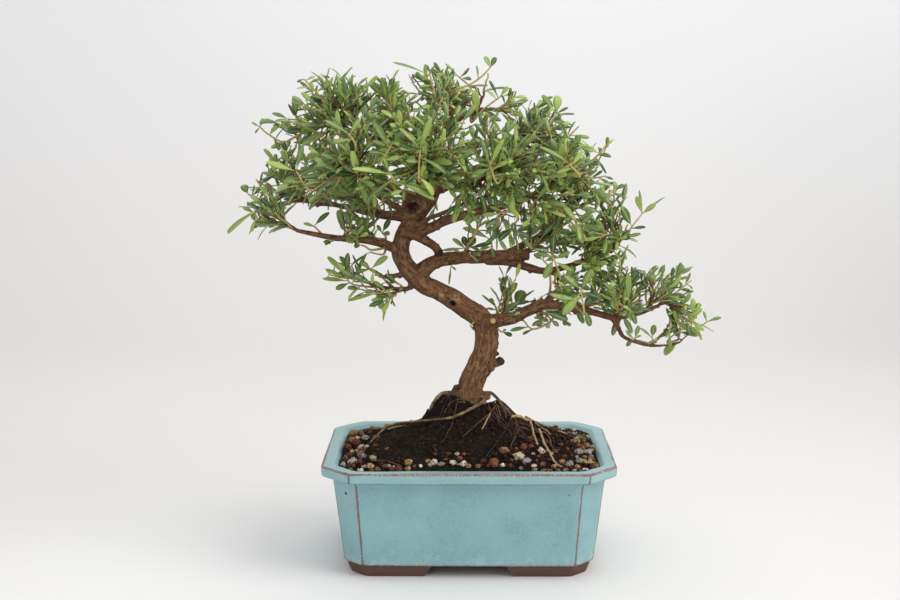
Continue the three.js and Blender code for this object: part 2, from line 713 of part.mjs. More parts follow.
SPRAYS.forEach(([tip], spray) => {
  const { place, along, radius } = departure(vector(tip));
  const baseRadius = Math.max(STEM_RADIUS, Math.min(1.6, 0.75 * radius));
  growStem(spray, (attempt) => {
    const { curve, length } = stemPath(place, along, vector(tip), bowOf(attempt));
    const start = clearOfWood(curve, baseRadius, spray);
    const from = Math.max(start + 0.08, 1 - LEAFY_LENGTH / length);
    const shoot = { curve, from, nodes: LEADER_NODES, keys: [spray, 0] };
    const solid = stemSolid(shoot, baseRadius, start, STEM_STEPS);
    return { shoot, solid, grown: solid };
  });
});

SPRAYS.forEach(([, tip], spray) => {
  if (!tip) return;
  const [first] = stems[spray];
  growStem(spray, (attempt) => {
    const frame = shootFrame(first.curve, between(first.from, 1, 0.1));
    const { curve } = stemPath(frame.place, frame.along, vector(tip), bowOf(attempt));
    const shoot = { curve, from: 0.25, nodes: LEADER_NODES, keys: [spray, 1] };
    const grown = stemSolid(shoot, STEM_RADIUS, 0, FORK_STEPS, CLEARANCE);
    return { shoot, solid: stemSolid(shoot, STEM_RADIUS, 0, FORK_STEPS), grown };
  });
});

// Leaves of one leading stem: [node, side of the opposite pair]
const STEM_LEAVES = [[4, 0], [4, 1], [3, 0], [2, 0], [2, 1], [1, 1], [0, 0]];

function growLeaves(shoot) {
  const [spray, order] = shoot.keys;
  const wanted = STEM_LEAVES.slice(0, STEM_LEAVES.length - ((spray + order) % 2));
  wanted.forEach(([node, pairSide]) => {
    const made = firstFree((attempt) => {
      const leaf = leafAt(shoot, node, pairSide, attempt);
      return { leaf, grown: blade(leaf, CLEARANCE), outer: blade(outerPart(leaf)) };
    }, spray);
    if (!made) return;
    const solid = blade(made.leaf);
    claim(solid, spray);
    sprayParts[spray].push(solid);
  });
}

stems.flat().forEach(growLeaves);

// Materials
const glaze = new THREE.MeshStandardMaterial({ color: 0x85adb3, roughness: 0.35, metalness: 0 });
const ground = new THREE.MeshStandardMaterial({ color: 0x33241c, roughness: 0.95, metalness: 0 });
const bark = new THREE.MeshStandardMaterial({ color: 0x6b4e3c, roughness: 0.9, metalness: 0 });
const foliage = new THREE.MeshStandardMaterial({ color: 0x4e7a3c, roughness: 0.45, metalness: 0 });
const netting = new THREE.MeshStandardMaterial({ color: 0x1c1c1c, roughness: 0.6, metalness: 0 });
const sprout = new THREE.MeshStandardMaterial({ color: 0x6fbf3a, roughness: 0.5, metalness: 0 });
const wireBlack = new THREE.MeshStandardMaterial({ color: 0x20242a, roughness: 0.5, metalness: 0.6 });

const bonsai = new THREE.Group();

function addPiece(name, solid, material) {
  const piece = new THREE.Mesh(geometryOf(solid), material);
  piece.name = name;
  bonsai.add(piece);
}

addPiece('pot', pot, glaze);
addPiece('soil', soil, ground);
addPiece(WOOD, wood, bark);
addPiece('drain_mesh_left', makeDrainMesh(-DRAIN_OFFSET), netting);
addPiece('drain_mesh_right', makeDrainMesh(DRAIN_OFFSET), netting);
addPiece('tie_wire', wire, wireBlack);
addPiece('seedling', seedling, sprout);
sprayParts.forEach((parts, spray) => {
  addPiece(`spray_${String(spray + 1).padStart(2, '0')}`, joined(parts), foliage);
});

const box = new THREE.Box3().setFromObject(bonsai);
const centre = box.getCenter(new THREE.Vector3());
bonsai.position.set(-centre.x, -centre.y, -box.min.z);

export default bonsai;
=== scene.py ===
# Looks of the coprosma bonsai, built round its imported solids.
# Places and sizes are in millimetres from the centre of the pot's foot, +Z up and +Y away from the front,
# and metres() moves them into the frame.

import math

import bmesh
import bpy
import numpy as np
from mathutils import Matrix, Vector


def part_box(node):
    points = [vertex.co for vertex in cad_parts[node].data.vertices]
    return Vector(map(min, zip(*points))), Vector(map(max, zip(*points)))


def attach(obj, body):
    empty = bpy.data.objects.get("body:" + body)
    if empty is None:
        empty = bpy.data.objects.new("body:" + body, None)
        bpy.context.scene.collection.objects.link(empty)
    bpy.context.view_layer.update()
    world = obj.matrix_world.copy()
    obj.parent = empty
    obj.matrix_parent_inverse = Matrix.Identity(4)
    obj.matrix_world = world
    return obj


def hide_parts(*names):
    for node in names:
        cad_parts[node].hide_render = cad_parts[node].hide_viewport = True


MM = 0.001

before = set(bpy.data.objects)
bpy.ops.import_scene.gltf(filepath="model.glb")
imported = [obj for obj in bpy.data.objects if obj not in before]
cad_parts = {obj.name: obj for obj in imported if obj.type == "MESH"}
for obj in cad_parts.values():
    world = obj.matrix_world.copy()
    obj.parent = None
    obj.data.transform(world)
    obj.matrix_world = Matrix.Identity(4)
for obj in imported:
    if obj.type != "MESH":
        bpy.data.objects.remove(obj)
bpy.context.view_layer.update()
POT_LOW, POT_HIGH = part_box("pot")
ORIGIN = np.array([(POT_LOW.x + POT_HIGH.x) / 2, (POT_LOW.y + POT_HIGH.y) / 2, POT_LOW.z])

UP = np.array([0.0, 0.0, 1.0])

# Seeds of the random draws
STONE_SEED = 41
CRUMB_SEED = 43
ROOT_SEED = 47
SEEDLING_SEED = 53
NUB_SEED = 59
SPRAY_SEED = 1000

# Numbers of a common hash, and the highest whole number of 32 bits
HASH_START = 2166136261
HASH_STEP = 16777619
HASH_MIX = 0x5BD1E995
LATTICE_STEPS = (374761393, 668265263, 1274126177)
LATTICE_SEED_STEP = 974634777
LATTICE_MIX = 1103515245
WORD = 0xFFFFFFFF

# Camera
FOCAL_LENGTH = 58
FOCAL_PIXELS = 1450
IMAGE_SIZE = (900, 600)
CAMERA_PLACE = np.array([-4.6, -797.1, 274.2])
CAMERA_PITCH = 0.1605
CAMERA_YAW = 0.0075

# Pot
RIM_WIDTH = 160
RIM_DEPTH = 117
RIM_HEIGHT = 61.5
CORNER_CUT = 16
CORNER_SHRINK = 0.45
FOOT_HEIGHT = 7
FLOOR_TOP = 13
LIP_WIDTH = 9
FLOOR_INSET = 17
FOOT_RING_WIDTH = 12
FRONT_SLOT = 40
SIDE_SLOT = 28
SLOT_SLANT = 5
DRAIN_RADIUS = 7
DRAIN_OFFSET = 30
GAP = 0.3

# Soil
SOIL_EDGE = 58.5
MOUND_HEIGHT = 19
MOUND_RADIUS = (58, 42)
MOUND_POWER = 1.4
COLLAR_HEIGHT = 8
COLLAR_RADIUS = 16
BUMP = 0.7

# Leafy stems
LEAFY_LENGTH = 27
STEM_RADIUS = 0.85
STEM_TIP_RADIUS = 0.45
STEM_SIDES = 5
LOWEST_STEM = 125
SHORTEST_STEM = 14
DEPARTURE_SHARES = [0.1, 0.35, 0.6, 0.85]
LEADER_NODES = 5
SIDE_NODES = 3
TIP_LEAF = {"lean": (0.25, 0.66), "length": (7.5, 12)}
STEM_LEAF = {"lean": (0.6, 1.2), "length": (10, 18)}
SIDE_LEAF = {"lean": (0.45, 1.05), "length": (6, 11.5)}
BUD_LEAF = {"lean": (0.3, 0.8), "length": (3, 6)}
LEAF_WIDTH_BASE = 1.1
LEAF_WIDTH_SHARE = 0.165


def metres(points):
    return np.asarray(points, float) * MM + ORIGIN


def unit(vector):
    return vector / np.linalg.norm(vector)


def between(low, high, share):
    return low + (high - low) * share


def chance(*keys):
    """A number between 0 and 1 that looks random but is the same on every run"""
    value = HASH_START
    for key in keys:
        value = ((value ^ (key + 1)) * HASH_STEP) & WORD
        value ^= value >> 13
        value = (value * HASH_MIX) & WORD
        value ^= value >> 15
    return value / (WORD + 1)


def lattice(cell, seed):
    """A number between -1 and 1 for each whole-numbered cell"""
    value = sum(cell[..., axis] * LATTICE_STEPS[axis] for axis in range(3))
    value = (value + seed * LATTICE_SEED_STEP) & WORD
    value = ((value ^ (value >> 13)) * LATTICE_MIX) & WORD
    value = ((value ^ (value >> 15)) * LATTICE_STEPS[1]) & WORD
    return ((value >> 8) & 0xFFFF) / 32767.5 - 1


def noise(points, size, seed=0):
    """Smooth values between -1 and 1, in lumps about `size` across"""
    place = np.asarray(points, float) / size
    cell = np.floor(place).astype(np.int64)
    part = place - cell
    part = part * part * (3 - 2 * part)
    total = 0
    for corner in range(8):
        shift = np.array([corner & 1, (corner >> 1) & 1, corner >> 2])
        weight = np.prod(np.where(shift, part, 1 - part), axis=-1)
        total = total + weight * lattice(cell + shift, seed)
    return total


def layered_noise(points, layers):
    """The sum of some noises, each given as (height, size, seed)"""
    return sum(height * noise(points, size, seed) for height, size, seed in layers)


def smooth_step(low, high, value):
    share = np.clip((value - low) / (high - low), 0, 1)
    return share * share * (3 - 2 * share)


def distances(points, place):
    return np.linalg.norm(points - np.array(place), axis=1)


# Materials

def colour(code):
    """A linear colour from six hexadecimal letters"""
    channels = [int(code[i:i + 2], 16) / 255 for i in (0, 2, 4)]
    linear = [c / 12.92 if c <= 0.04045 else ((c + 0.055) / 1.055) ** 2.4 for c in channels]
    return (*linear, 1)


class Finish:
    """A material and short ways to its nodes. Sizes are in millimetres."""

    def __init__(self, name, roughness=0.5, specular=0.5):
        self.material = bpy.data.materials.new(name)
        self.material.use_nodes = True
        self.tree = self.material.node_tree
        self.shader = self.tree.nodes["Principled BSDF"]
        self.shader.inputs["Roughness"].default_value = roughness
        self.shader.inputs["Specular IOR Level"].default_value = specular
        self.place = self.node("ShaderNodeTexCoord", output="Object")

    def feed(self, socket, value):
        if isinstance(value, bpy.types.NodeSocket):
            self.tree.links.new(value, socket)
        else:
            socket.default_value = value

    def node(self, kind, inputs=None, output=0, **settings):
        made = self.tree.nodes.new(kind)
        for key, value in settings.items():
            setattr(made, key, value)
        for key, value in (inputs or {}).items():
            self.feed(made.inputs[key], value)
        return made.outputs[output]

    def value(self, name):
        return self.node("ShaderNodeAttribute", output="Fac", attribute_name=name)

    def vector(self, name):
        return self.node("ShaderNodeAttribute", output="Vector", attribute_name=name)

    def noise(self, size, detail=3, vector=None, stretch=None, rough=0.55):
        vector = vector or self.place
        if stretch:
            vector = self.node("ShaderNodeVectorMath", {0: vector, 1: stretch}, operation="MULTIPLY")
        unit_size = 1 / (size * MM)
        inputs = {"Vector": vector, "Scale": unit_size, "Detail": detail, "Roughness": rough}
        return self.node("ShaderNodeTexNoise", inputs)

    def cells(self, size, output="Distance", vector=None):
        inputs = {"Vector": vector or self.place, "Scale": 1 / (size * MM)}
        return self.node("ShaderNodeTexVoronoi", inputs, output=output)

    def step(self, value, low, high, start=0.0, end=1.0):
        inputs = {"Value": value, "From Min": low, "From Max": high, "To Min": start, "To Max": end}
        return self.node("ShaderNodeMapRange", inputs, interpolation_type="SMOOTHSTEP")

    def math(self, operation, a, b=0.0):
        return self.node("ShaderNodeMath", {0: a, 1: b}, operation=operation)

    def blend(self, a, b, share):
        a = colour(a) if isinstance(a, str) else a
        b = colour(b) if isinstance(b, str) else b
        return self.node("ShaderNodeMix", {0: share, 6: a, 7: b}, output=2, data_type="RGBA")

    def times(self, a, b):
        return self.math("MULTIPLY", a, b)

    def patches(self, size, detail, low, high, start=0.0, end=1.0, **how):
        """Noise with its slopes made steeper"""
        return self.step(self.noise(size, detail, **how), low, high, start, end)

    def layers(self, body, *covers):
        """A base colour under covers, each with the share of the surface that it hides"""
        for cover, share in covers:
            body = self.blend(body, cover, share)
        return body

    def tint(self, body, *covers):
        self.feed(self.shader.inputs["Base Color"], self.layers(body, *covers))

    def roughness(self, value):
        self.feed(self.shader.inputs["Roughness"], value)

    def bump(self, height, depth, strength=1.0):
        inputs = {"Height": height, "Distance": depth * MM, "Strength": strength}
        self.feed(self.shader.inputs["Normal"], self.node("ShaderNodeBump", inputs))


def glaze_finish():
    """Satin turquoise glaze that thins to bare clay on its edges, over dark clay feet"""
    finish = Finish("turquoise_glaze", specular=0.5)
    foot = finish.value("foot")
    scum = finish.times(finish.value("scum"), finish.patches(5, 4, 0.4, 0.75))
    pits = finish.step(finish.cells(11), 0.030, 0.048, 1, 0)
    away = finish.node("ShaderNodeVectorMath", {0: finish.place, 1: metres(PIT_PLACE)}, output="Value",
                       operation="DISTANCE")
    ragged = finish.times(finish.patches(1.1, 3, 0.25, 0.6, 0.6, 1.1), finish.value("line"))
    bare = finish.step(ragged, 0.42, 0.72)
    lip_clay = finish.layers(
        finish.blend("785F5C", "B0A3A0", finish.patches(0.8, 2, 0.35, 0.65)),
        ("7C615A", finish.patches(16, 2, 0.5, 0.66, 0, 0.8)),
    )
    finish.tint(
        finish.blend("7CA6AC", "8AB2B6", finish.patches(22, 2, 0.3, 0.7)),
        ("9ABEBF", finish.times(finish.patches(1.6, 4, 0.35, 0.7), 0.35)),
        ("B9C9BE", finish.times(scum, 0.6)),
        ("96BFBD", finish.times(finish.value("lip"), 0.5)),
        ("4B5A55", finish.times(pits, 0.75)),
        ("C8DEDA", finish.patches(0.5, 1, 0.74, 0.79)),
        ("3F8F73", finish.value("streak")),
        ("2C3835", finish.step(away, 1.15 * PIT_RADIUS * MM, 0.75 * PIT_RADIUS * MM)),
        (finish.blend("7E6664", lip_clay, finish.value("lip")), bare),
        (finish.blend("4E372E", "6E5145", finish.noise(2.2, 4)), foot),
    )
    finish.roughness(finish.step(finish.math("MAXIMUM", bare, foot), 0, 1, 0.36, 0.85))
    finish.bump(finish.math("SUBTRACT", finish.noise(3.2, 3), finish.times(pits, 1.5)), 0.16)
    return finish.material


def soil_finish():
    """Damp dark compost, reddish in places, with a little moss"""
    finish = Finish("dark_compost", roughness=0.95, specular=0.2)
    finish.tint(
        finish.blend("100C0A", "2A1D17", finish.patches(1.5, 5, 0.35, 0.7)),
        ("4A3023", finish.patches(3.0, 5, 0.55, 0.72, rough=0.7)),
        ("34371C", finish.times(finish.value("moss"), finish.patches(1.9, 5, 0.52, 0.66, rough=0.7))),
    )
    finish.bump(finish.noise(0.9, 6, rough=0.7), 0.8)
    return finish.material


def bark_finish():
    """Rough reddish-brown bark with long flakes, redder on thin limbs, tan on roots and cuts"""
    finish = Finish("flaky_bark", roughness=0.88, specular=0.25)
    local = finish.vector("bark")
    fibres = finish.noise(0.9, 5, vector=local, stretch=(1, 1, 0.28), rough=0.75)
    flakes = finish.noise(1.5, 5, vector=local, stretch=(1, 1, 0.4), rough=0.7)
    patches = finish.noise(9, 3, vector=local)
    flecks = finish.noise(0.8, 5, vector=local, stretch=(1, 1, 0.8), rough=0.8)
    moss = finish.times(finish.value("moss"), finish.step(patches, 0.4, 0.58))
    finish.tint(
        finish.blend("5E402E", "9A7452", finish.step(flakes, 0.42, 0.58)),
        ("8C5A40", finish.step(patches, 0.42, 0.64, 0, 0.55)),
        ("744A36", finish.times(finish.value("thin"), 0.4)),
        ("C6A580", finish.step(fibres, 0.56, 0.68, 0, 0.5)),
        ("2A1B13", finish.step(fibres, 0.44, 0.35, 0, 0.7)),
        ("C9AC88", finish.step(flecks, 0.58, 0.68, 0, 0.55)),
        ("2A1B13", finish.step(flecks, 0.42, 0.34, 0, 0.7)),
        (finish.blend("75583A", "C4A878", finish.step(flakes, 0.35, 0.62)), finish.value("tan")),
        ("5E5B2C", finish.times(moss, 0.75)),
        # The dark value: dark knobs and cut rings, and painted shade under the limbs, in the bark's cracks
        # and in the wound's hollow
        ("15100E", finish.value("dark")),
        ("DDB47E", finish.value("cut")),
    )
    finish.bump(finish.math("ADD", fibres, finish.times(flakes, 1.4)), 0.7)
    return finish.material


def twig_finish():
    """Young stems: straw and green at the tips, reddish brown where they are older"""
    finish = Finish("twig_skin", roughness=0.7, specular=0.35)
    fleck = finish.noise(0.8, 3)
    finish.tint(
        finish.blend("A89650", "D2BC80", finish.step(fleck, 0.3, 0.7)),
        (
            finish.blend("5A3A2C", "86604A", finish.step(fleck, 0.35, 0.7)),
            finish.step(finish.value("age"), 0.35, 0.9),
        ),
    )
    finish.bump(finish.noise(0.6, 3), 0.15)
    return finish.material


def leaf_finish():
    """Glossy green with a paler midrib above, sage green below"""
    finish = Finish("coprosma_leaf", roughness=0.36, specular=0.5)
    across = finish.math("ABSOLUTE", finish.value("across"))
    tone = finish.value("tone")
    under = finish.value("under")
    upper = finish.layers(
        # Tone: random for each leaf and darker inside the crown, partly painted shade
        finish.blend("30511F", "B0C65F", tone),
        ("A9BC68", finish.patches(1.8, 2, 0.5, 0.8, 0, 0.35)),
        ("B4C683", finish.step(across, 0.05, 0.2, 0.5, 0)),
    )
    lower = finish.layers(
        finish.blend("667F49", "A2B87C", tone),
        ("BCCB9A", finish.step(across, 0.04, 0.16, 0.6, 0)),
    )
    finish.tint(upper, (lower, finish.step(under, 0.45, 0.6)), ("B5AC62", finish.value("stalk")))
    finish.roughness(finish.step(under, 0.4, 0.6, 0.3, 0.6))
    finish.bump(finish.noise(1.2, 2), 0.12)
    return finish.material


def stone_finish(name, dark, light, pit):
    finish = Finish(name, roughness=0.85, specular=0.3)
    pores = finish.noise(1.2, 4, rough=0.7)
    finish.tint(
        finish.blend(dark, light, finish.value("tone")),
        (light, finish.patches(0.9, 3, 0.45, 0.7, 0, 0.6)),
        (pit, finish.step(pores, 0.49, 0.41, 0, 0.92)),
    )
    finish.bump(finish.math("ADD", finish.noise(0.7, 4), pores), 0.7)
    return finish.material


def root_finish():
    """Thin roots: pale tan when young, dark reddish brown when old"""
    finish = Finish("root_skin", roughness=0.8, specular=0.25)
    fleck = finish.noise(0.9, 4)
    finish.tint(
        finish.blend("A08058", "D2B88A", finish.step(fleck, 0.3, 0.68)),
        (finish.blend("351F1D", "63403A", finish.step(fleck, 0.35, 0.7)), finish.value("age")),
    )
    finish.bump(finish.noise(0.6, 3), 0.15)
    return finish.material


def plain_finish(name, dark, light, size, roughness, metallic=0.0):
    finish = Finish(name, roughness=roughness)
    finish.shader.inputs["Metallic"].default_value = metallic
    finish.tint(finish.blend(dark, light, finish.patches(size, 3, 0.3, 0.7)))
    finish.bump(finish.noise(size / 2, 2), 0.1)
    return finish.material


# Meshes

class Shape:
    """Points, faces and values at each point, gathered for one mesh"""

    def __init__(self):
        self.points = []
        self.faces = []
        self.values = {}
        self.count = 0

    def add(self, points, faces, **values):
        for face in faces:
            self.faces.append([index + self.count for index in face])
        self.points.append(points)
        for key, value in values.items():
            width = 3 if np.ndim(value) == 2 else None
            full = np.asarray(value, float) if width else np.broadcast_to(value, len(points))
            self.values.setdefault(key, []).append(full)
        self.count += len(points)

    def mesh(self, name):
        made = bpy.data.meshes.new(name)
        made.from_pydata(metres(np.concatenate(self.points)).tolist(), [], self.faces)
        for key, parts in self.values.items():
            store(made, key, np.concatenate(parts))
        return made

    def show(self, name, material, slot, nodes=()):
        show(self.mesh(name), name, material, nodes)


def store(mesh, key, data):
    """Keeps a value or a vector for each point of a mesh"""
    flat = data.ndim == 1
    attribute = mesh.attributes.new(key, "FLOAT" if flat else "FLOAT_VECTOR", "POINT")
    attribute.data.foreach_set("value" if flat else "vector", data.astype(np.float32).ravel())


def linked(name, data):
    """A new object in the scene"""
    made = bpy.data.objects.new(name, data)
    bpy.context.scene.collection.objects.link(made)
    return made


def show(mesh, name, material, nodes=()):
    """Adds a mesh as a piece of the object"""
    mesh.name = name
    mesh.materials.clear()
    mesh.materials.append(material)
    mesh.shade_smooth()
    piece = linked(name, mesh)
    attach(piece, "root")
    if nodes:
        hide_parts(*nodes)


def solved(mesh, *modifiers):
    """The mesh after some modifiers, each given as (kind, settings)"""
    holder = linked("solving", mesh)
    for kind, settings in modifiers:
        modifier = holder.modifiers.new(kind.lower(), kind)
        for key, value in settings.items():
            setattr(modifier, key, value)
    graph = bpy.context.evaluated_depsgraph_get()
    made = bpy.data.meshes.new_from_object(holder.evaluated_get(graph))
    bpy.data.objects.remove(holder)
    return made


def read_vectors(items, key):
    """A vector of each item of a mesh, as rows"""
    flat = np.empty(len(items) * 3, np.float32)
    items.foreach_get(key, flat)
    return flat.reshape(-1, 3).astype(float)


def points_of(mesh):
    """The points of a mesh in millimetres"""
    return (read_vectors(mesh.vertices, "co") - ORIGIN) / MM


def normals_of(mesh):
    return read_vectors(mesh.vertex_normals, "vector")


def move_points(mesh, points):
    mesh.vertices.foreach_set("co", metres(points).astype(np.float32).ravel())
    mesh.update()


def ring_faces(rings, count):
    """Four-sided faces between rings of points that follow each other, and both end caps"""
    faces = []
    for ring in range(rings - 1):
        for i in range(count):
            a = ring * count + i
            b = ring * count + (i + 1) % count
            faces.append([a, b, b + count, a + count])
    faces.append(list(range(count))[::-1])
    faces.append([(rings - 1) * count + i for i in range(count)])
    return faces


def path_frames(path):
    """Directions along a path and two directions across it that don't spin"""
    along = np.gradient(path, axis=0)
    along /= np.linalg.norm(along, axis=1)[:, None]
    side = np.array([0.31, -0.95, 0.05])
    sides = []
    for direction in along:
        side = unit(side - direction * side.dot(direction))
        sides.append(side)
    sides = np.array(sides)
    return along, sides, np.cross(along, sides)


def tube(path, radii, sides):
    """Points and faces of a tube round a path"""
    path = np.asarray(path, float)
    _, side, other = path_frames(path)
    angles = np.arange(sides) * 2 * math.pi / sides
    radii = np.asarray(radii, float)[:, None, None]
    across = side[:, None] * np.cos(angles)[None, :, None] + other[:, None] * np.sin(angles)[None, :, None]
    points = path[:, None] + radii * across
    return points.reshape(-1, 3), ring_faces(len(path), sides)


def smooth_path(points, radii, step):
    """A smooth curve through the given points, with the radius at each of its own points"""
    points = np.array(points, float)
    padded = np.vstack([2 * points[0] - points[1], points, 2 * points[-1] - points[-2]])
    path = []
    thickness = []
    for i in range(len(points) - 1):
        a, b, c, d = padded[i:i + 4]
        count = max(2, round(np.linalg.norm(c - b) / step))
        for t in np.arange(count) / count:
            cubic = (2 * b + (c - a) * t + (2 * a - 5 * b + 4 * c - d) * t ** 2
                     + (3 * b - a - 3 * c + d) * t ** 3)
            path.append(cubic / 2)
            thickness.append(between(radii[i], radii[i + 1], t))
    return np.array([*path, points[-1]]), np.array([*thickness, radii[-1]])


def tapered(first, last, points):
    return [between(first, last, i / (len(points) - 1)) for i in range(len(points))]


# Pot

# Outlines as (inset from the rim, height): the outer wall up to the rim and over it, then the hollow
FOOT_INSETS = (15.3, 12.8)
OUTER_WALL = [
    (FOOT_INSETS[0], 0), (FOOT_INSETS[1], 6.6), (11.7, 7), (6.4, 52.5), (5.2, 54.4), (1.2, 55.5),
    (0.3, 56.2), (0, 60.6), (0.8, RIM_HEIGHT),
]
BODY_PROFILE = [*OUTER_WALL, (6.8, RIM_HEIGHT), (LIP_WIDTH, 59.6)]
HOLLOW_PROFILE = [(LIP_WIDTH, 59.6), (LIP_WIDTH, 57), (LIP_WIDTH + 2, 50), (FLOOR_INSET, FLOOR_TOP)]
PROFILE_ROUNDING = 0.9
HOLLOW_ROUNDING = 2.0
LONGEST_STRETCH = 6
CORNER_ROUNDING = 2.8
WALL_PARTS = (15, 5, 23)
CIRCLE_SIDES = 32
SHARP_ANGLE = 38
LINE_WIDTH = 0.75
LIP_FOOT = 55.7
# Waves of a wall made by hand: height, size, seed
WALL_WAVES = [(0.28, 26, 5), (0.09, 6, 6)]
# A green run in the glaze of the front: its place in X and Z, its size
RUN_PLACE = (32.1, 13)
RUN_SIZE = (0.9, 2.6)
# A pit in the glaze of the left front corner face
PIT_PLACE = (-66.2, -45.4, 47.2)
PIT_RADIUS = 1.05


def corner_arc(before, corner, after, reach):
    """Five points that round off a corner"""
    cut = min(reach, 0.45 * np.linalg.norm(before - corner), 0.45 * np.linalg.norm(after - corner))
    start = corner + unit(before - corner) * cut
    end = corner + unit(after - corner) * cut
    return [start * (1 - t) ** 2 + corner * 2 * t * (1 - t) + end * t ** 2 for t in (0, 0.25, 0.5, 0.75, 1)]


def stretch(start, end, parts):
    """Points between two others: a narrow pair near each end and even steps between"""
    distance = np.linalg.norm(end - start)
    near = min(0.2, 1.5 * LINE_WIDTH / distance)
    shares = [near / 2, *np.linspace(near, 1 - near, parts), 1 - near / 2]
    return [start + (end - start) * share for share in shares]


def rounded_profile(points, reach, longest):
    """An open line with its corners rounded off and no stretch longer than `longest`"""
    points = [np.array(point, float) for point in points]
    line = [points[0]]
    for before, corner, after in zip(points, points[1:], points[2:]):
        line += corner_arc(before, corner, after, reach)
    line.append(points[-1])
    spread = []
    for start, end in zip(line, line[1:]):
        distance = np.linalg.norm(end - start)
        spread.append(start)
        if distance > 5 * LINE_WIDTH:
            spread += stretch(start, end, max(2, round(distance / longest)))
    return [*spread, line[-1]]


def corner_places(inset):
    """Half the pot's width and depth at an inset, and the length that its cut corners take off them"""
    inset = np.asarray(inset, float)
    return RIM_WIDTH / 2 - inset, RIM_DEPTH / 2 - inset, CORNER_CUT - CORNER_SHRINK * inset


def octagon(inset, rounding=CORNER_ROUNDING, parts=WALL_PARTS):
    """The pot's outline at an inset, with the given points on its sides, its cut corners and its front"""
    x, y, cut = (float(value) for value in corner_places(inset))
    corners = [
        (x, -y + cut), (x, y - cut), (x - cut, y), (-x + cut, y),
        (-x, y - cut), (-x, -y + cut), (-x + cut, -y), (x - cut, -y),
    ]
    corners = np.array(corners, float)
    if not rounding:
        return corners
    arcs = [corner_arc(corners[i - 1], corners[i], corners[(i + 1) % 8], rounding) for i in range(8)]
    side, cut_corner, front = parts
    ring = []
    for i, count in enumerate([side, cut_corner, front, cut_corner] * 2):
        ring += arcs[i]
        ring += stretch(arcs[i][-1], arcs[(i + 1) % 8][0], count)
    return np.array(ring)


def level(outline, height):
    """A flat outline at a height"""
    return np.column_stack([outline, np.full(len(outline), height)])


def skin(rings):
    """A closed skin over rings of points"""
    shape = Shape()
    shape.add(np.concatenate(rings), ring_faces(len(rings), len(rings[0])))
    return shape


def stacked(profile, rounding=CORNER_ROUNDING):
    """A closed skin over octagons, one for each (inset, height)"""
    return skin([level(octagon(inset, rounding), height) for inset, height in profile])


def prism(corners, reach, turned):
    """A block from an outline in X and Z, drawn out along Y, or turned to lie along X"""
    ends = []
    for end in (reach, -reach):
        ring = [(-end, x, z) if turned else (x, end, z) for x, z in corners]
        ends.append(np.array(ring, float))
    return skin(ends)


def foot_slot(half_width, reach, turned):
    wide = half_width + SLOT_SLANT
    low = half_width + SLOT_SLANT * 0.86
    outline = [
        (-wide, -2), (wide, -2), (low, 0), (half_width, FOOT_HEIGHT), (-half_width, FOOT_HEIGHT), (-low, 0),
    ]
    return prism(outline, reach, turned)


def drain_cutter(x):
    angles = np.arange(CIRCLE_SIDES) * 2 * math.pi / CIRCLE_SIDES
    circle = np.column_stack([x + DRAIN_RADIUS * np.cos(angles), DRAIN_RADIUS * np.sin(angles)])
    return skin([level(circle, height) for height in (-5, 2 * FLOOR_TOP)])


def cut_away(mesh, cutters):
    """The mesh with other shapes cut out of it"""
    for cutter in cutters:
        tool = linked("cutter", cutter.mesh("cutter"))
        mesh = solved(mesh, ("BOOLEAN", {"operation": "DIFFERENCE", "object": tool, "solver": "EXACT"}))
        bpy.data.objects.remove(tool)
    return mesh


def inset_at(height):
    """How far the pot's outer wall stands in from its rim"""
    insets, heights = zip(*OUTER_WALL)
    return np.interp(height, heights, insets)


def pot_values(points, normals):
    """Where the clay line, the bare feet, the lip and the pale band near the foot lie"""
    x, y, z = np.abs(points[:, 0]), np.abs(points[:, 1]), points[:, 2]
    half_x, half_y, cut = corner_places(inset_at(z))
    corner = np.minimum(np.hypot(x - half_x, y - half_y + cut), np.hypot(x - half_x + cut, y - half_y))
    wall = (z > FOOT_HEIGHT + 0.4) & (z < RIM_HEIGHT)
    wander = 0.35 * noise(points, 7, 3)
    on_corner = np.where(wall, smooth_step(2.2 * LINE_WIDTH, 0.5 * LINE_WIDTH, corner + wander), 0)
    inwards = np.minimum(np.minimum(half_x - x, half_y - y), (half_x + half_y - cut - x - y) / math.sqrt(2))
    outer = smooth_step(3.6, 2.8, inwards)
    edge = np.hypot(0.8 * (inwards + inset_at(z) - 0.5), z - 61.4) + 0.4 * wander
    seen_side = 0.62 + 0.38 * smooth_step(0, -40, points[:, 1])
    top = seen_side * smooth_step(1.25, 0.85, edge)
    low = 0.72 * smooth_step(0.9, 0.2, np.abs(z - LIP_FOOT + 0.5 * wander))
    base = 0.6 * smooth_step(1.1, 0.2, np.abs(z - FOOT_HEIGHT - 0.6))
    rim = outer * np.maximum(np.maximum(top, low), base)
    aside = ((points[:, 0] - RUN_PLACE[0]) / RUN_SIZE[0]) ** 2
    streak = np.exp(-(aside + ((z - RUN_PLACE[1]) / RUN_SIZE[1]) ** 2)) * (points[:, 1] < 0)
    foot = np.where(z < FOOT_HEIGHT - 0.15, 1.0, 0.0)
    foot = np.where((z < FLOOR_TOP - 0.5) & (normals[:, 2] < -0.5), 1.0, foot)
    return {
        "line": np.maximum(on_corner, rim),
        "foot": foot,
        "lip": smooth_step(LIP_FOOT - 1.1, LIP_FOOT - 0.1, z),
        "scum": smooth_step(17, 8, z),
        "streak": np.clip(streak * 1.3, 0, 1),
    }


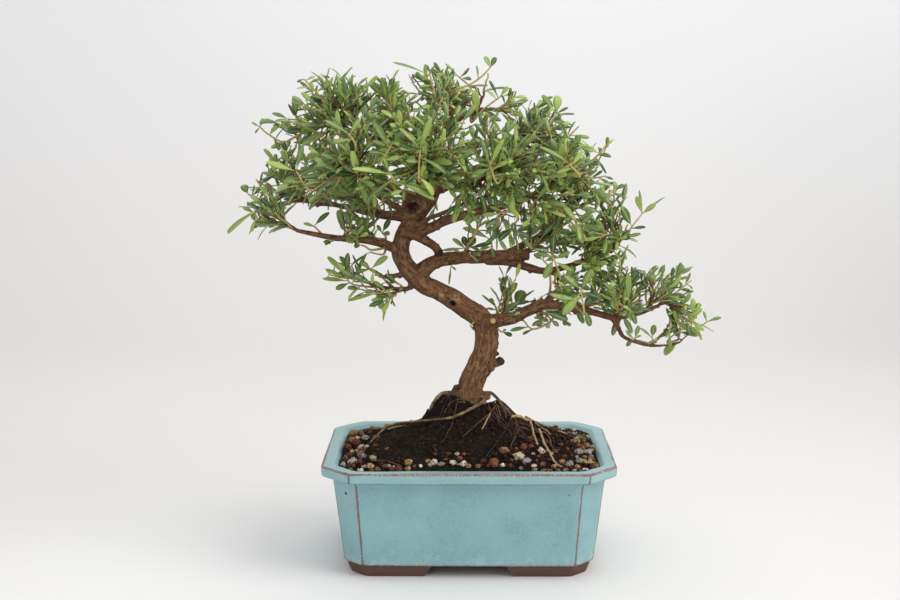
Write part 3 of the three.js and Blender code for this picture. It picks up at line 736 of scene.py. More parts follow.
def make_pot(material):
    outer = rounded_profile(BODY_PROFILE, PROFILE_ROUNDING, LONGEST_STRETCH)
    inner = rounded_profile(HOLLOW_PROFILE, HOLLOW_ROUNDING, LONGEST_STRETCH)
    ring = [(FOOT_INSETS[0] + FOOT_RING_WIDTH, -1), (FOOT_INSETS[1] + FOOT_RING_WIDTH, FOOT_HEIGHT)]
    mesh = cut_away(stacked([*outer, *inner[1:]]).mesh("pot_glazed"), [
        stacked(ring, 0),
        foot_slot(FRONT_SLOT / 2, RIM_DEPTH, False),
        foot_slot(SIDE_SLOT / 2, RIM_WIDTH, True),
        drain_cutter(-DRAIN_OFFSET),
        drain_cutter(DRAIN_OFFSET),
    ])
    points = points_of(mesh)
    normals = normals_of(mesh)
    held = smooth_step(0, 3, points[:, 2])
    move_points(mesh, points + normals * (layered_noise(points, WALL_WAVES) * held)[:, None])
    for key, data in pot_values(points, normals).items():
        store(mesh, key, data)
    show(mesh, "pot_glazed", material, ["pot"])
    mesh.set_sharp_from_angle(angle=math.radians(SHARP_ANGLE))


# Soil

def wad_height(x, y):
    """Root-bound soil that rises beside the foot of the trunk"""
    return sum(high * np.exp(-((x - cx) / wide) ** 2 - ((y - cy) / deep) ** 2)
               for cx, cy, wide, deep, high in WADS)


def soil_height(x, y):
    away = np.hypot(x / MOUND_RADIUS[0], y / MOUND_RADIUS[1]) ** (2 * MOUND_POWER)
    near = (x * x + y * y) / COLLAR_RADIUS ** 2
    bumps = np.sin(x * 0.31 + 1.3) * np.cos(y * 0.37) + np.sin(x * 0.17 - y * 0.23)
    return SOIL_EDGE + MOUND_HEIGHT * np.exp(-away) + COLLAR_HEIGHT * np.exp(-near) + BUMP * bumps


def soil_inset(height):
    """How far the hollow's wall stands in from the rim, with the soil's own gap"""
    heights = [FLOOR_TOP, 50, 57, 200]
    insets = [FLOOR_INSET, LIP_WIDTH + 2, LIP_WIDTH, LIP_WIDTH]
    return np.interp(height, heights, insets) + GAP


# Wads of soil and fine roots: centre x, centre y, width, depth, height
WADS = [
    (-12, -1, 8, 9, 11), (-19, -1, 5, 7, 4.2), (17.5, -1, 7.5, 8, 7.6), (27, 2, 6, 6, 2.5),
    (1, -9, 11, 6.5, 5.2), (-24.5, -1, 2.2, 2.5, 2.6), (-36, 10, 15, 13, -1.6),
]
SOIL_RINGS = 64
SOIL_PARTS = (46, 9, 66)
SOIL_ROUNDING = 1.5
SOIL_LEVELS = (50, 32, FLOOR_TOP + GAP)
# Lumps of the soil: height, size, seed
SOIL_LUMPS = [(0.9, 5.5, 11), (0.85, 2.4, 12), (0.5, 1.1, 13)]


def make_soil(material):
    edge = octagon(soil_inset(SOIL_EDGE), SOIL_ROUNDING, SOIL_PARTS)
    shares = np.linspace(0.03, 1, SOIL_RINGS)
    top = np.concatenate([level(edge * share, 0.0) for share in shares])
    top[:, 2] = ground_height(top[:, 0], top[:, 1])
    away = np.repeat(shares, len(edge))
    top[:, 2] += layered_noise(top, SOIL_LUMPS) * smooth_step(1, 0.97, away) - 0.4
    bottom = [level(octagon(soil_inset(height), SOIL_ROUNDING, SOIL_PARTS), height) for height in SOIL_LEVELS]
    points = np.concatenate([top, *bottom])
    shape = Shape()
    faces = [face[::-1] for face in ring_faces(SOIL_RINGS + len(bottom), len(edge))]
    left = smooth_step(10, -30, points[:, 0]) * smooth_step(10, -20, points[:, 1])
    shape.add(points, faces, moss=left * (points[:, 2] > 50))
    shape.show("compost", material, "soil", ["soil"])


# Stones that show in the photo: (pixel across, pixel down, width in mm, kind)
CREAM, TAN, RUST, GREY = range(4)
SEEN_STONES = [
    (353.3, 434.2, 5.2, TAN), (364.9, 432.4, 4.0, RUST), (377.9, 429.5, 3.0, GREY),
    (349.7, 440.5, 2.8, TAN), (357.3, 438.7, 2.8, GREY), (365.4, 438.7, 4.0, GREY),
    (356.4, 444.9, 5.4, RUST), (348.4, 447.6, 4.0, RUST), (376.0, 438.2, 4.4, TAN),
    (361.4, 447.6, 3.6, CREAM), (366.9, 447.6, 3.4, GREY), (348.4, 454.8, 2.4, CREAM),
    (352.6, 453.4, 2.0, TAN), (344.0, 463.2, 2.4, TAN), (352.0, 462.3, 5.4, GREY),
    (361.8, 456.5, 5.0, GREY), (373.0, 459.2, 4.6, CREAM), (370.4, 467.1, 4.4, TAN),
    (364.0, 467.9, 3.0, CREAM), (409.1, 463.6, 4.8, TAN), (403.8, 464.6, 4.0, TAN),
    (414.9, 467.2, 2.8, RUST), (420.7, 466.6, 2.4, CREAM), (428.3, 461.9, 3.4, TAN),
    (434.6, 462.8, 4.4, CREAM), (440.8, 466.4, 3.6, GREY), (452.9, 463.3, 3.8, CREAM),
    (463.6, 464.4, 4.0, CREAM), (469.4, 467.4, 5.6, CREAM), (483.2, 461.6, 3.4, RUST),
    (494.7, 464.8, 5.8, RUST), (504.2, 452.0, 5.8, TAN), (504.2, 467.7, 2.6, CREAM),
    (511.9, 467.8, 2.8, RUST), (518.6, 457.8, 6.0, CREAM), (526.7, 462.1, 5.0, GREY),
    (533.9, 467.2, 3.4, CREAM), (541.6, 452.0, 4.8, CREAM), (543.0, 465.0, 3.2, TAN),
    (545.5, 467.9, 3.6, TAN), (554.0, 467.4, 3.4, TAN), (561.7, 462.6, 3.8, TAN), (569.3, 465.4, 5.0, GREY),
    (573.1, 442.5, 4.2, TAN), (578.9, 453.0, 5.0, GREY), (586.5, 447.2, 4.8, TAN),
    (587.4, 453.0, 5.2, GREY), (579.8, 462.6, 4.4, GREY), (584.6, 457.8, 3.4, TAN),
    (586.4, 463.5, 4.8, TAN), (577.9, 467.8, 3.4, TAN), (398.0, 467.5, 2.6, RUST),
    (389.0, 466.5, 2.8, GREY), (382.0, 464.0, 2.4, RUST), (445.5, 460.4, 2.6, RUST),
    (457.0, 455.0, 2.8, GREY), (524.0, 448.0, 4.8, RUST), (489.0, 467.8, 2.8, RUST),
    (478.0, 467.4, 3.0, TAN), (387.0, 449.3, 2.6, RUST), (371.5, 431.4, 4.0, RUST),
    (363.0, 451.5, 4.0, RUST), (359.5, 463.6, 4.5, RUST), (393.8, 468.4, 2.6, CREAM),
    (384.5, 467.1, 2.6, RUST), (459.9, 459.6, 3.0, RUST), (463.9, 454.6, 2.4, RUST),
    (448.8, 454.6, 2.4, RUST), (435.4, 454.6, 2.4, RUST), (375.5, 446.6, 2.8, RUST),
    (345.8, 458.5, 3.2, GREY), (349.0, 467.0, 3.0, RUST), (531.0, 439.7, 4.2, RUST),
    (531.0, 447.3, 3.0, RUST), (564.1, 457.6, 3.4, RUST), (555.2, 452.4, 3.2, RUST),
    (590.5, 458.0, 3.6, GREY), (576.5, 458.0, 3.0, GREY), (582.5, 449.0, 3.0, TAN),
    (592.0, 464.5, 3.0, TAN), (567.5, 450.0, 2.8, RUST), (548.5, 460.0, 2.8, RUST),
    (571.5, 456.0, 3.0, RUST), (561.0, 445.5, 3.0, RUST), (538.5, 457.5, 3.0, RUST),
    (511.5, 461.0, 2.6, RUST), (516.5, 449.5, 2.4, RUST), (546.0, 443.0, 2.6, RUST),
]
# Kinds of stone: name, dark and light colour, colour of the pores, roughness, share of the loose grit
STONE_KINDS = {
    CREAM: ("pumice", "D0B286", "FDEFD4", "4A382A", 0.22, 0.12),
    TAN: ("tan_grit", "80603F", "C8A070", "3A281C", 0.15, 0.28),
    RUST: ("baked_clay_grit", "48291C", "94583A", "24140E", 0.15, 0.36),
    GREY: ("grey_grit", "665852", "CEC3BA", "1E1816", 0.22, 0.24),
}
# Loose grit elsewhere: (centre x, centre y, half spread x, half spread y, stones)
GRIT_FIELDS = [
    (0, -47, 62, 1.6, 40), (-65, -12, 5, 34, 54), (65, -14, 5, 34, 54), (0, 44, 60, 4, 30),
    (-50, 34, 14, 10, 10), (50, 32, 14, 11, 12), (46, -34, 20, 9, 14),
]
LOOSE_WIDTH = (2, 4.2)
STONE_DETAIL = 3
STONE_SPACING = 0.36
FACETS = 11
CRUMBS = 2200
CRUMB_SIZE = (0.9, 2.6)


def camera_ray(across, down):
    """The direction from the camera through a pixel of the photo"""
    right = (across - IMAGE_SIZE[0] / 2) / FOCAL_PIXELS
    up = (IMAGE_SIZE[1] / 2 - down) / FOCAL_PIXELS
    forward = math.cos(CAMERA_PITCH) + up * math.sin(CAMERA_PITCH)
    rise = up * math.cos(CAMERA_PITCH) - math.sin(CAMERA_PITCH)
    turn = CAMERA_YAW
    x = right * math.cos(turn) - forward * math.sin(turn)
    y = right * math.sin(turn) + forward * math.cos(turn)
    return np.array([x, y, rise])


def seen_at_depth(across, down, y):
    """The place at depth y that shows at a pixel"""
    ray = camera_ray(across, down)
    return CAMERA_PLACE + ray * (y - CAMERA_PLACE[1]) / ray[1]


def ground_height(x, y):
    return soil_height(x, y) + wad_height(x, y)


def seen_on_soil(across, down, far=RIM_DEPTH / 2):
    """The place on the soil that shows at a pixel, or the closest one where the pixel looks past the soil"""
    best = None
    for y in np.arange(-RIM_DEPTH / 2, far, 0.25):
        place = seen_at_depth(across, down, y)
        gap = place[2] - ground_height(place[0], place[1])
        if gap <= 0:
            return place
        if best is None or gap < best[0]:
            best = (gap, place)
    return best[1]


def inside_pot(x, y, margin):
    half_x, half_y, cut = (float(value) for value in corner_places(LIP_WIDTH + margin))
    return abs(x) < half_x and abs(y) < half_y and abs(x) + abs(y) < half_x + half_y - cut


def pull_inside(x, y, margin):
    """Moves a place towards the middle until it lies inside the pot's rim"""
    while not inside_pot(x, y, margin):
        x *= 0.99
        y *= 0.99
    return x, y


def ball(detail):
    mesh = bmesh.new()
    bmesh.ops.create_icosphere(mesh, subdivisions=detail, radius=1)
    points = np.array([vertex.co for vertex in mesh.verts])
    faces = [[vertex.index for vertex in face.verts] for face in mesh.faces]
    mesh.free()
    return points, faces


def turned(points, random):
    """The points after a turn in any direction"""
    w, x, y, z = unit(random.normal(size=4))
    matrix = np.array([
        [1 - 2 * (y * y + z * z), 2 * (x * y - z * w), 2 * (x * z + y * w)],
        [2 * (x * y + z * w), 1 - 2 * (x * x + z * z), 2 * (y * z - x * w)],
        [2 * (x * z - y * w), 2 * (y * z + x * w), 1 - 2 * (x * x + y * y)],
    ])
    return points @ matrix.T


def stone_points(base, size, random, rough):
    """A ball with flat facets and a rough skin, turned and squashed a little"""
    points = turned(base, random)
    facets = random.normal(size=(FACETS, 3))
    facets /= np.linalg.norm(facets, axis=1)[:, None]
    depths = random.uniform(0.62, 0.95, FACETS)
    reach = np.min(depths / np.maximum(points @ facets.T, 0.05), axis=1)
    points = points * np.minimum(reach, 1)[:, None]
    seed = int(random.integers(1000))
    points = points * (1 + rough * noise(points, 0.45, seed) + rough * noise(points, 0.2, seed + 1))[:, None]
    stretch = np.array([1.08, random.uniform(0.72, 1), random.uniform(0.65, 0.9)])
    spin = random.uniform(0, math.pi)
    x, y, z = (points * stretch).T
    rolled = np.column_stack([
        x * math.cos(spin) - y * math.sin(spin), x * math.sin(spin) + y * math.cos(spin), z,
    ])
    return rolled * size / 2


def make_stones():
    random = np.random.default_rng(STONE_SEED)
    base, faces = ball(STONE_DETAIL)
    wanted = []
    for across, down, width, kind in SEEN_STONES:
        x, y, _ = seen_on_soil(across, down)
        wanted.append((x, y, width, kind))
    kinds = list(STONE_KINDS)
    shares = [STONE_KINDS[kind][5] for kind in kinds]
    for cx, cy, spread_x, spread_y, count in GRIT_FIELDS:
        for _ in range(count):
            x = cx + spread_x * random.uniform(-1, 1)
            y = cy + spread_y * random.uniform(-1, 1)
            wanted.append((x, y, random.uniform(*LOOSE_WIDTH), kinds[random.choice(len(kinds), p=shares)]))
    shapes = {kind: Shape() for kind in kinds}
    placed = []
    for x, y, width, kind in wanted:
        x, y = pull_inside(x, y, 0.5 + width / 2)
        if any(math.hypot(x - px, y - py) < STONE_SPACING * (width + other) for px, py, other in placed):
            continue
        placed.append((x, y, width))
        height = ground_height(x, y) + 0.12 * width
        points = stone_points(base, width * 1.06, random, STONE_KINDS[kind][4]) + np.array([x, y, height])
        shapes[kind].add(points, faces, tone=random.uniform(0, 1))
    for kind, shape in shapes.items():
        name, *colours = STONE_KINDS[kind][:4]
        shape.show(name, stone_finish(name, *colours), "soil")


def make_crumbs(material):
    random = np.random.default_rng(CRUMB_SEED)
    base, faces = ball(1)
    shape = Shape()
    for _ in range(CRUMBS):
        x = random.uniform(-70, 70)
        y = random.uniform(-49, 49)
        size = random.uniform(*CRUMB_SIZE)
        mossy = x < 8 and abs(y) < 36 and random.random() < 0.75
        if mossy or not inside_pot(x, y, 0.6 + size / 2) or math.hypot(x, y) < 8:
            continue
        points = stone_points(base, size, random, 0.3) + np.array([x, y, ground_height(x, y) + 0.1 * size])
        shape.add(points, faces, tone=random.uniform(0, 1) ** 2)
    shape.show("bark_crumbs", material, "soil")


# Wood

TRUNK_POINTS = [
    (-1, 0, 70), (-0.5, 0, 82), (0.6, 0, 94.5), (4.2, 0, 104.8), (8.4, 0, 114.5), (10.1, 0, 124.8),
    (7.8, 0, 133), (1, 0, 139), (-15.6, 0, 149.5), (-25.1, 0, 154.2), (-32.5, 0, 161), (-37, 0, 169),
    (-37.6, 0, 177), (-33.5, 1, 186.5), (-23, 3, 200.5), (-19, 4, 210), (-18, 5, 228), (-9.5, 3, 247.9),
]
TRUNK_RADII = [
    9.4, 8.4, 7.1, 6.6, 6.6, 6.5, 6, 5.6, 5.3, 5.2, 5.1, 5, 4.8, 4.6, 4.7, 3.8, 2.6, 1.2,
]
# Limbs: first radius, last radius, points
LIMBS = {
    "low_right": (4, 1.6, [
        (8, 0, 129), (13, -1, 133), (23.9, -3, 135.5), (33.7, -5, 140.4), (41.9, -7, 144.1),
        (50.1, -8, 143.1), (61, -9, 141.6), (72, -10, 139), (82.3, -12, 136),
    ]),
    "droop": (1.35, 0.55, [
        (79, -11.6, 137), (82.2, -12.6, 131.5), (84, -13.5, 127.8), (88.3, -14.5, 125.4),
        (97.3, -15.5, 122.8), (105.3, -15.5, 122.5), (114.2, -15, 123.7), (116.8, -15, 125.6),
    ]),
    "rise": (1.6, 0.9, [
        (78, -12, 137.1), (91.3, -10, 139), (99.8, -8, 141.4), (106, -6, 144),
    ]),
    "mid_right": (4, 3.2, [
        (-30, 0, 157), (-22.8, 2, 164), (-16.2, 3, 167.2), (-7.8, 5, 168.1), (3.4, 7, 168.4),
        (14.6, 8, 168.8), (24, 9, 169.2), (33.8, 9, 169.6),
    ]),
    "mid_right_tip": (2.7, 1, [
        (10, 8, 167.6), (24.2, 9.5, 165), (33.8, 10, 162), (43.3, 10, 160.1), (55.6, 9, 163),
        (65, 8, 166.6), (75.3, 6, 171.9), (84.1, 5, 176),
    ]),
    "mid_up": (2.3, 1.1, [
        (18, 8.5, 168.2), (31.1, 14, 174.8), (40.8, 18, 179.5), (49.5, 22, 185.3), (58, 20, 192),
    ]),
    "bridge": (2.8, 2.2, [
        (-37.1, -1, 183.4), (-30.4, -4, 182), (-22.7, -3, 178), (-18.4, 0, 174.3), (-15.6, 3, 168.5),
    ]),
    "upper_right": (3.1, 1.1, [
        (-34.5, 0, 181.8), (-21.6, -5, 186), (-13.3, -9, 190.3), (-4.1, -13, 193.5), (7.2, -17, 197.1),
        (18.9, -20, 199.6), (29.6, -22, 203.5), (41.8, -22, 209.4), (52, -20, 214),
    ]),
    "upper_right_twin": (1.3, 0.7, [
        (-27, -4, 188), (-24.3, -6, 190.5), (-13.3, -9, 195.2), (-2.5, -12, 200.4), (11, -16, 205.1),
        (27, -19, 209.2),
    ]),
    "left_low": (2.7, 1, [
        (-36.5, 0, 172), (-48.5, -5, 177.7), (-59.3, -9, 179.9), (-72.6, -13, 181.4), (-84.8, -16, 184),
        (-94, -17, 186),
    ]),
    "left_mid": (3, 1, [
        (-29, 1, 191.6), (-40, 4, 191.7), (-48.4, 7, 192), (-57.4, 9, 193.4), (-67, 11, 195.5),
        (-76, 12, 197.1), (-88, 9, 198),
    ]),
    "low_twig": (1.6, 0.9, [
        (-30, 0, 155), (-35, -3, 151.8), (-45.9, -7, 153), (-52, -8.5, 154.4),
    ]),
    "short_twig": (1.5, 0.9, [
        (-33, 0, 160.2), (-45.2, -8, 159.3), (-50, -9.5, 160),
    ]),
    "top_right": (1.5, 1, [
        (-13.3, 4, 239.1), (-4.1, 0, 245.8), (2, -1.5, 248.2),
    ]),
    "top_left": (2.5, 1.2, [
        (-20, 4, 211), (-29, 2, 221), (-42, -3, 230), (-55, -6, 236), (-67, -8, 240),
    ]),
    "left_back": (2.4, 1.1, [
        (-30, 1, 191), (-42, 18, 196), (-56, 32, 203), (-66, 37, 207),
    ]),
    "left_front": (2.4, 1.1, [
        (-26, 1, 198), (-35, -18, 206), (-47, -33, 213), (-58, -38, 217),
    ]),
    "front": (2.3, 1.1, [
        (-26, 0, 196), (-27, -18, 207), (-26, -34, 216), (-21, -42, 221),
    ]),
    "right_front": (2.4, 1.1, [
        (-23, 3, 203), (-8, -16, 211), (6, -30, 215), (16, -36, 217),
    ]),
    "right_back": (2.4, 1.1, [
        (-19.5, 4, 214), (-8, 24, 214), (9, 38, 216), (22, 42, 217),
    ]),
    "back": (2.4, 1.1, [
        (-36.5, 2, 177), (-32.1, 18, 185.2), (-24.9, 32, 195.1), (-19, 40, 203),
    ]),
    "right_top": (2.4, 1, [
        (-18.5, 5, 222), (-4, 8, 228), (13, 10, 232), (26, 10, 234),
    ]),
    "left_back_top": (2, 1, [
        (-18, 5, 227), (-27, 20, 233), (-36, 30, 237),
    ]),
}
CUT_STUB = [(8, -2, 127), (9.5, -5, 133), (10, -6.5, 136.5)]
CUT_STUB_RADII = [3.4, 3, 2.7]
WOUND_PLACE = np.array([-31, -7.4, 199.4])
WOUND_RADIUS = 5
WOUND_STRETCH = 0.92
WOUND_BOWL = (4.5, 1.1)
# Roots on the mound: first radius, last radius, how tan each one is, and points
ROOTS = [
    (1.05, 0.6, 0.85, [
        (10.5, -5, 91.2), (7.8, -9.4, 89.3), (4.2, -12, 87.6), (-2.4, -15, 84.8), (-8.8, -15.5, 82),
        (-13, -14, 80.8), (-22, -9, 78.7), (-30, -4, 76.7), (-40, 1, 74.4), (-46, 1, 72.4), (-52, -3, 68),
        (-58, -9, 62),
    ]),
    (1.15, 0.9, 0.8, [
        (-3, 1, 92), (-9.6, 0, 92.4), (-15.2, -0.5, 92), (-19.6, -1.5, 87.4), (-21.6, -2, 82.4),
        (-22, -3, 77),
    ]),
    (0.5, 0.35, 0.9, [
        (8.3, -6, 91.8), (3, -9.2, 91.4), (-2.5, -10.2, 91.2), (-8.9, -9.8, 89.8), (-12.3, -10.4, 86),
        (-13.6, -11.4, 83),
    ]),
    (1.1, 0.8, 0.15, [
        (5, -1, 92), (10.4, -1, 92.6), (12.6, -1, 92.4), (15.3, -2, 90.3), (17.2, -2, 88), (18.8, -3, 85.6),
        (21.6, -3, 83.4), (24.4, -3, 79),
    ]),
]
SCAR_PLACE = np.array([-9.1, -5.2, 143.9])
SCAR_RADIUS = 2.2
SCAR_BOWL = (1.6, 0.5)
CUT_END = np.array([13.3, -9.4, 134.9])
CUT_END_RADIUS = 1.6
CUT_END_BOWL = (0.5, 0.5)
# Knobs on the wood: place, radius, and how dark each one is
KNOBS = [
    ((17.4, -2.2, 110.8), 2.4, 0.75), ((14.9, -2, 109.8), 2.6, 0.1), ((12.4, -2, 107), 2.6, 0.1),
    ((9.6, -1.5, 104.6), 3, 0), ((16.2, -1, 120.8), 0.9, 0.6), ((15.6, -1, 118.5), 1, 0.6),
    ((15.8, -1.5, 114.9), 1.2, 0.7), ((-7.2, -3.6, 96.2), 2, 0.6), ((-8, -2.6, 94), 1.9, 0.5),
    ((-8.6, -2, 91.6), 2.6, 0.35), ((-4.6, -2, 90.4), 5, 0.1), ((2.6, -3.4, 88.6), 5.6, 0),
    ((-5, -6, 86.6), 4.4, 0.2), ((8.2, -9.2, 89.2), 1.9, 0.2), ((10.5, -6, 91.5), 2, 0.1),
    ((4.4, -11.4, 87.8), 1.5, 0.2), ((0.2, -13.6, 86.1), 1.1, 0.1), ((-11, -15, 81.5), 0.95, 0),
    ((-19, -11, 79.7), 0.9, 0.1), ((-17.4, -1.3, 89.8), 1.5, 0.1), ((-20.8, -2, 84.6), 1.35, 0.1),
    ((-12.6, -1, 92.2), 1.5, 0.2), ((-31, -1.6, 198), 6, 0), ((82, -12.6, 131.6), 1.6, 0.3),
    ((83.4, -13.2, 128.9), 1.5, 0.3), ((-17.0, 1, 172), 2.6, 0.8), ((-13.5, -0.5, 166.4), 2.3, 0.1),
    ((12.6, -5.4, 134.7), 3.1, 0.1), ((-33, -2, 193), 4.2, 0), ((-28.4, -1.5, 199.5), 5.2, 0),
    ((-31, 0, 187), 5.4, 0), ((12.5, 5, 171.6), 2.2, 0), ((23.5, 6, 168.6), 2.4, 0),
    ((7, -2.4, 90.6), 3.6, 0),
]
# Patches on the wood: place, radius, the value that each one raises, and to how much
PATCHES = [
    ((-9.1, -5, 143.9), 2.0, "dark", 1.0), ((-12.3, -5, 151.6), 1.3, "tan", 0.9),
    ((-15.3, -5, 149.4), 1.9, "tan", 0.7), ((-7.2, -5, 147), 2.2, "tan", 0.6),
    ((13.3, -8.6, 134.9), 1.7, "cut", 1.0), ((17.3, -6, 137), 1.0, "cut", 0.9),
    ((35, 9, 169.7), 2.4, "dark", 0.85), ((3, -7, 120), 1.6, "tan", 0.5),
    ((-12.6, -1, 92.4), 2, "tan", 0.55), ((-16, -1, 91.6), 2.4, "tan", 0.85),
    ((-19, -1.5, 88.4), 2.4, "tan", 0.9), ((-21.2, -2, 84.4), 2.4, "tan", 0.9),
    ((-5, -7, 88), 3, "dark", 0.5), ((2, -9.4, 86.8), 2, "dark", 0.6), ((-9, -4, 88), 2.6, "dark", 0.55),
    ((6.4, -8.6, 90.6), 1.3, "dark", 0.5), ((-3, -14.8, 84.6), 1, "dark", 0.6),
    ((-15.5, -12.6, 80.2), 1, "dark", 0.6), ((3.7, -6, 110), 1.5, "tan", 0.8),
    ((3.7, -6, 110), 0.7, "dark", 0.9), ((15.2, -4, 107.6), 1.5, "tan", 0.7),
]
WOOD_STEP = 1.1
ROOT_STEP = 0.9
BRANCH_COLLAR = 0.3
NUBS = 260
NUB_SIZE = (0.5, 0.95)
WOOD_SIDES = 18
VOXEL = 0.58
MOSS_TOP = 97
LINE_SHIFT = 37
SEARCH_CHUNK = 4096


def radii_of(name):
    first, last, points = LIMBS[name]
    return tapered(first, last, points)


WOOD_PATHS = [np.array(TRUNK_POINTS, float), *(np.array(limb[2], float) for limb in LIMBS.values())]
WOOD_RADII = [TRUNK_RADII, *(radii_of(name) for name in LIMBS)]


class WoodLine:
    """A line through wood, with the values that its skin takes from it"""

    def __init__(self, points, radii, tan, step, collar):
        self.path, self.radii = smooth_path(points, radii, step)
        self.tan = tan
        steps = np.linalg.norm(np.diff(self.path, axis=0), axis=1)
        self.run = np.concatenate([[0], np.cumsum(steps)])
        if collar:
            reach = 2.2 * self.radii[0]
            self.radii = self.radii * (1 + BRANCH_COLLAR * np.exp(-(self.run / reach) ** 2))
        _, self.side, self.other = path_frames(self.path)


def wood_lines():
    lines = [WoodLine(TRUNK_POINTS, TRUNK_RADII, 0, WOOD_STEP, False)]
    for name, (_, _, points) in LIMBS.items():
        lines.append(WoodLine(points, radii_of(name), 0, WOOD_STEP, True))
    lines.append(WoodLine(CUT_STUB, CUT_STUB_RADII, 0, WOOD_STEP, False))
    for first, last, tan, points in ROOTS:
        lines.append(WoodLine(points, tapered(first, last, points), tan, ROOT_STEP, True))
    return lines


def fused_wood(lines):
    """One skin over all the lines, knobs and nubs"""
    shape = Shape()
    for line in lines:
        shape.add(*tube(line.path, line.radii, WOOD_SIDES))
    base, faces = ball(2)
    for place, radius, _ in KNOBS:
        shape.add(base * radius + np.array(place), faces)
    random = np.random.default_rng(NUB_SEED)
    limbs = lines[1:1 + len(LIMBS)]
    for _ in range(NUBS):
        line = limbs[random.integers(len(limbs))]
        index = random.integers(len(line.path))
        angle = random.uniform(0, 2 * math.pi)
        outwards = line.side[index] * math.cos(angle) + line.other[index] * math.sin(angle)
        size = random.uniform(*NUB_SIZE)
        shape.add(base * size + line.path[index] + outwards * (line.radii[index] + 0.3 * size), faces)
    return solved(shape.mesh("wood_core"), ("REMESH", {"mode": "VOXEL", "voxel_size": VOXEL * MM}),
                  ("SMOOTH", {"factor": 0.5, "iterations": 3}))


def nearest_on(lines, points):
    """For each point the line place whose skin is nearest, and a blend of how tan the lines are there"""
    table = {
        "place": [line.path for line in lines],
        "side": [line.side for line in lines],
        "other": [line.other for line in lines],
        "radius": [line.radii for line in lines],
        "run": [line.run + LINE_SHIFT * i for i, line in enumerate(lines)],
        "tan": [np.full(len(line.path), line.tan) for line in lines],
    }
    table = {key: np.concatenate(parts) for key, parts in table.items()}
    places, radii = table["place"], table["radius"]
    found = []
    tan = []
    for first in range(0, len(points), SEARCH_CHUNK):
        some = points[first:first + SEARCH_CHUNK]
        squares = (some ** 2).sum(1)[:, None] + (places ** 2).sum(1)[None] - 2 * some @ places.T
        gaps = np.sqrt(np.maximum(squares, 0)) - radii
        weights = np.exp(-(gaps - gaps.min(1)[:, None]) / 0.5)
        found.append(gaps.argmin(1))
        tan.append((weights @ table["tan"]) / weights.sum(1))
    found = np.concatenate(found)
    near = {key: data[found] for key, data in table.items()}
    near["tan"] = np.concatenate(tan)
    return near


def bark_relief(local, radius, root):
    """Height of the bark: long ridges, flakes and lumps, finer on thin limbs"""
    long_way = np.array([1, 1, 0.3])
    ridges = 1 - np.abs(noise(local * long_way, 1.8, 21)) * 2
    cracks = np.minimum(noise(local * long_way, 1.0, 22), 0)
    flakes = np.clip(noise(local * np.array([1, 1, 0.45]), 2.6, 23) * 3, -0.4, 1)
    lumps = noise(local * np.array([1, 1, 0.7]), 5.5, 24)
    rough = np.clip(radius, 0.8, 7)
    relief = rough * (0.06 * ridges + 0.07 * cracks + 0.05 * flakes) + 0.075 * rough * lumps
    return np.where(root > 0, 0.7 * relief, relief)


def bowl(away, depth, rim):
    """A dent with a raised rim, by the distance from its middle as a share of its radius"""
    return -depth * np.clip(1 - away ** 2, 0, 1) ** 1.5 + rim * np.exp(-((away - 1.15) / 0.24) ** 2)


def wood_values(points, normals, near, relief, in_wound, in_cut):
    """How tan, mossy, thin or freshly cut each point of the wood is, and how dark, partly its own dark and
    partly painted shade
    """
    values = {
        "tan": near["tan"] * smooth_step(95, 84, points[:, 2]),
        # Painted shade: darker in the low cracks of the bark and on the undersides, which face away from the
        # light above
        "dark": np.maximum(np.clip(-relief * 0.8 - 0.3, 0, 0.5), 0.5 * smooth_step(0, -0.9, normals[:, 2])),
        "moss": smooth_step(MOSS_TOP, 86, points[:, 2]) * (0.4 + 0.6 * smooth_step(4, -8, points[:, 0])),
        "thin": smooth_step(4.2, 1.4, near["radius"]),
        "cut": np.zeros(len(points)),
    }

    def raise_to(key, data):
        values[key] = np.maximum(values[key], data)

    rim = np.exp(-((in_wound - 1.2) / 0.2) ** 2) * smooth_step(-2, 1.5, points[:, 0] - WOUND_PLACE[0])
    raise_to("tan", 0.75 * rim)
    # Painted shade inside the wound's hollow
    raise_to("dark", smooth_step(1.0, 0.7, in_wound) * (0.72 + 0.2 * noise(points, 1.6, 31)))
    raise_to("dark", 0.9 * np.exp(-((in_cut - 1.25) / 0.3) ** 2))
    for place, radius, dark in KNOBS:
        raise_to("dark", dark * smooth_step(1.35 * radius, 0.9 * radius, distances(points, place)))
    for place, radius, key, amount in PATCHES:
        raise_to(key, amount * smooth_step(1.25 * radius, 0.6 * radius, distances(points, place)))
    return values


def make_wood(material):
    lines = wood_lines()
    mesh = fused_wood(lines)
    points = points_of(mesh)
    normals = normals_of(mesh)
    near = nearest_on(lines, points)
    offset = points - near["place"]
    across = [np.einsum("ij,ij->i", offset, near[key]) for key in ("side", "other")]
    local = np.column_stack([*across, near["run"]])
    relief = bark_relief(local, near["radius"], near["tan"])
    in_wound = np.linalg.norm((points - WOUND_PLACE) * [1, 1, WOUND_STRETCH], axis=1) / WOUND_RADIUS
    in_scar = distances(points, SCAR_PLACE) / SCAR_RADIUS
    in_cut = distances(points, CUT_END) / CUT_END_RADIUS
    dents = bowl(in_wound, *WOUND_BOWL) + bowl(in_scar, *SCAR_BOWL) + bowl(in_cut, *CUT_END_BOWL)
    move_points(mesh, points + normals * (relief + dents)[:, None])
    store(mesh, "bark", local * MM)
    for key, data in wood_values(points, normals, near, relief, in_wound, in_cut).items():
        store(mesh, key, data)
    show(mesh, "trunk_limbs_and_roots", material, ["tree_wood"])


# Fine roots on the mound

FINE_ROOTS = 42
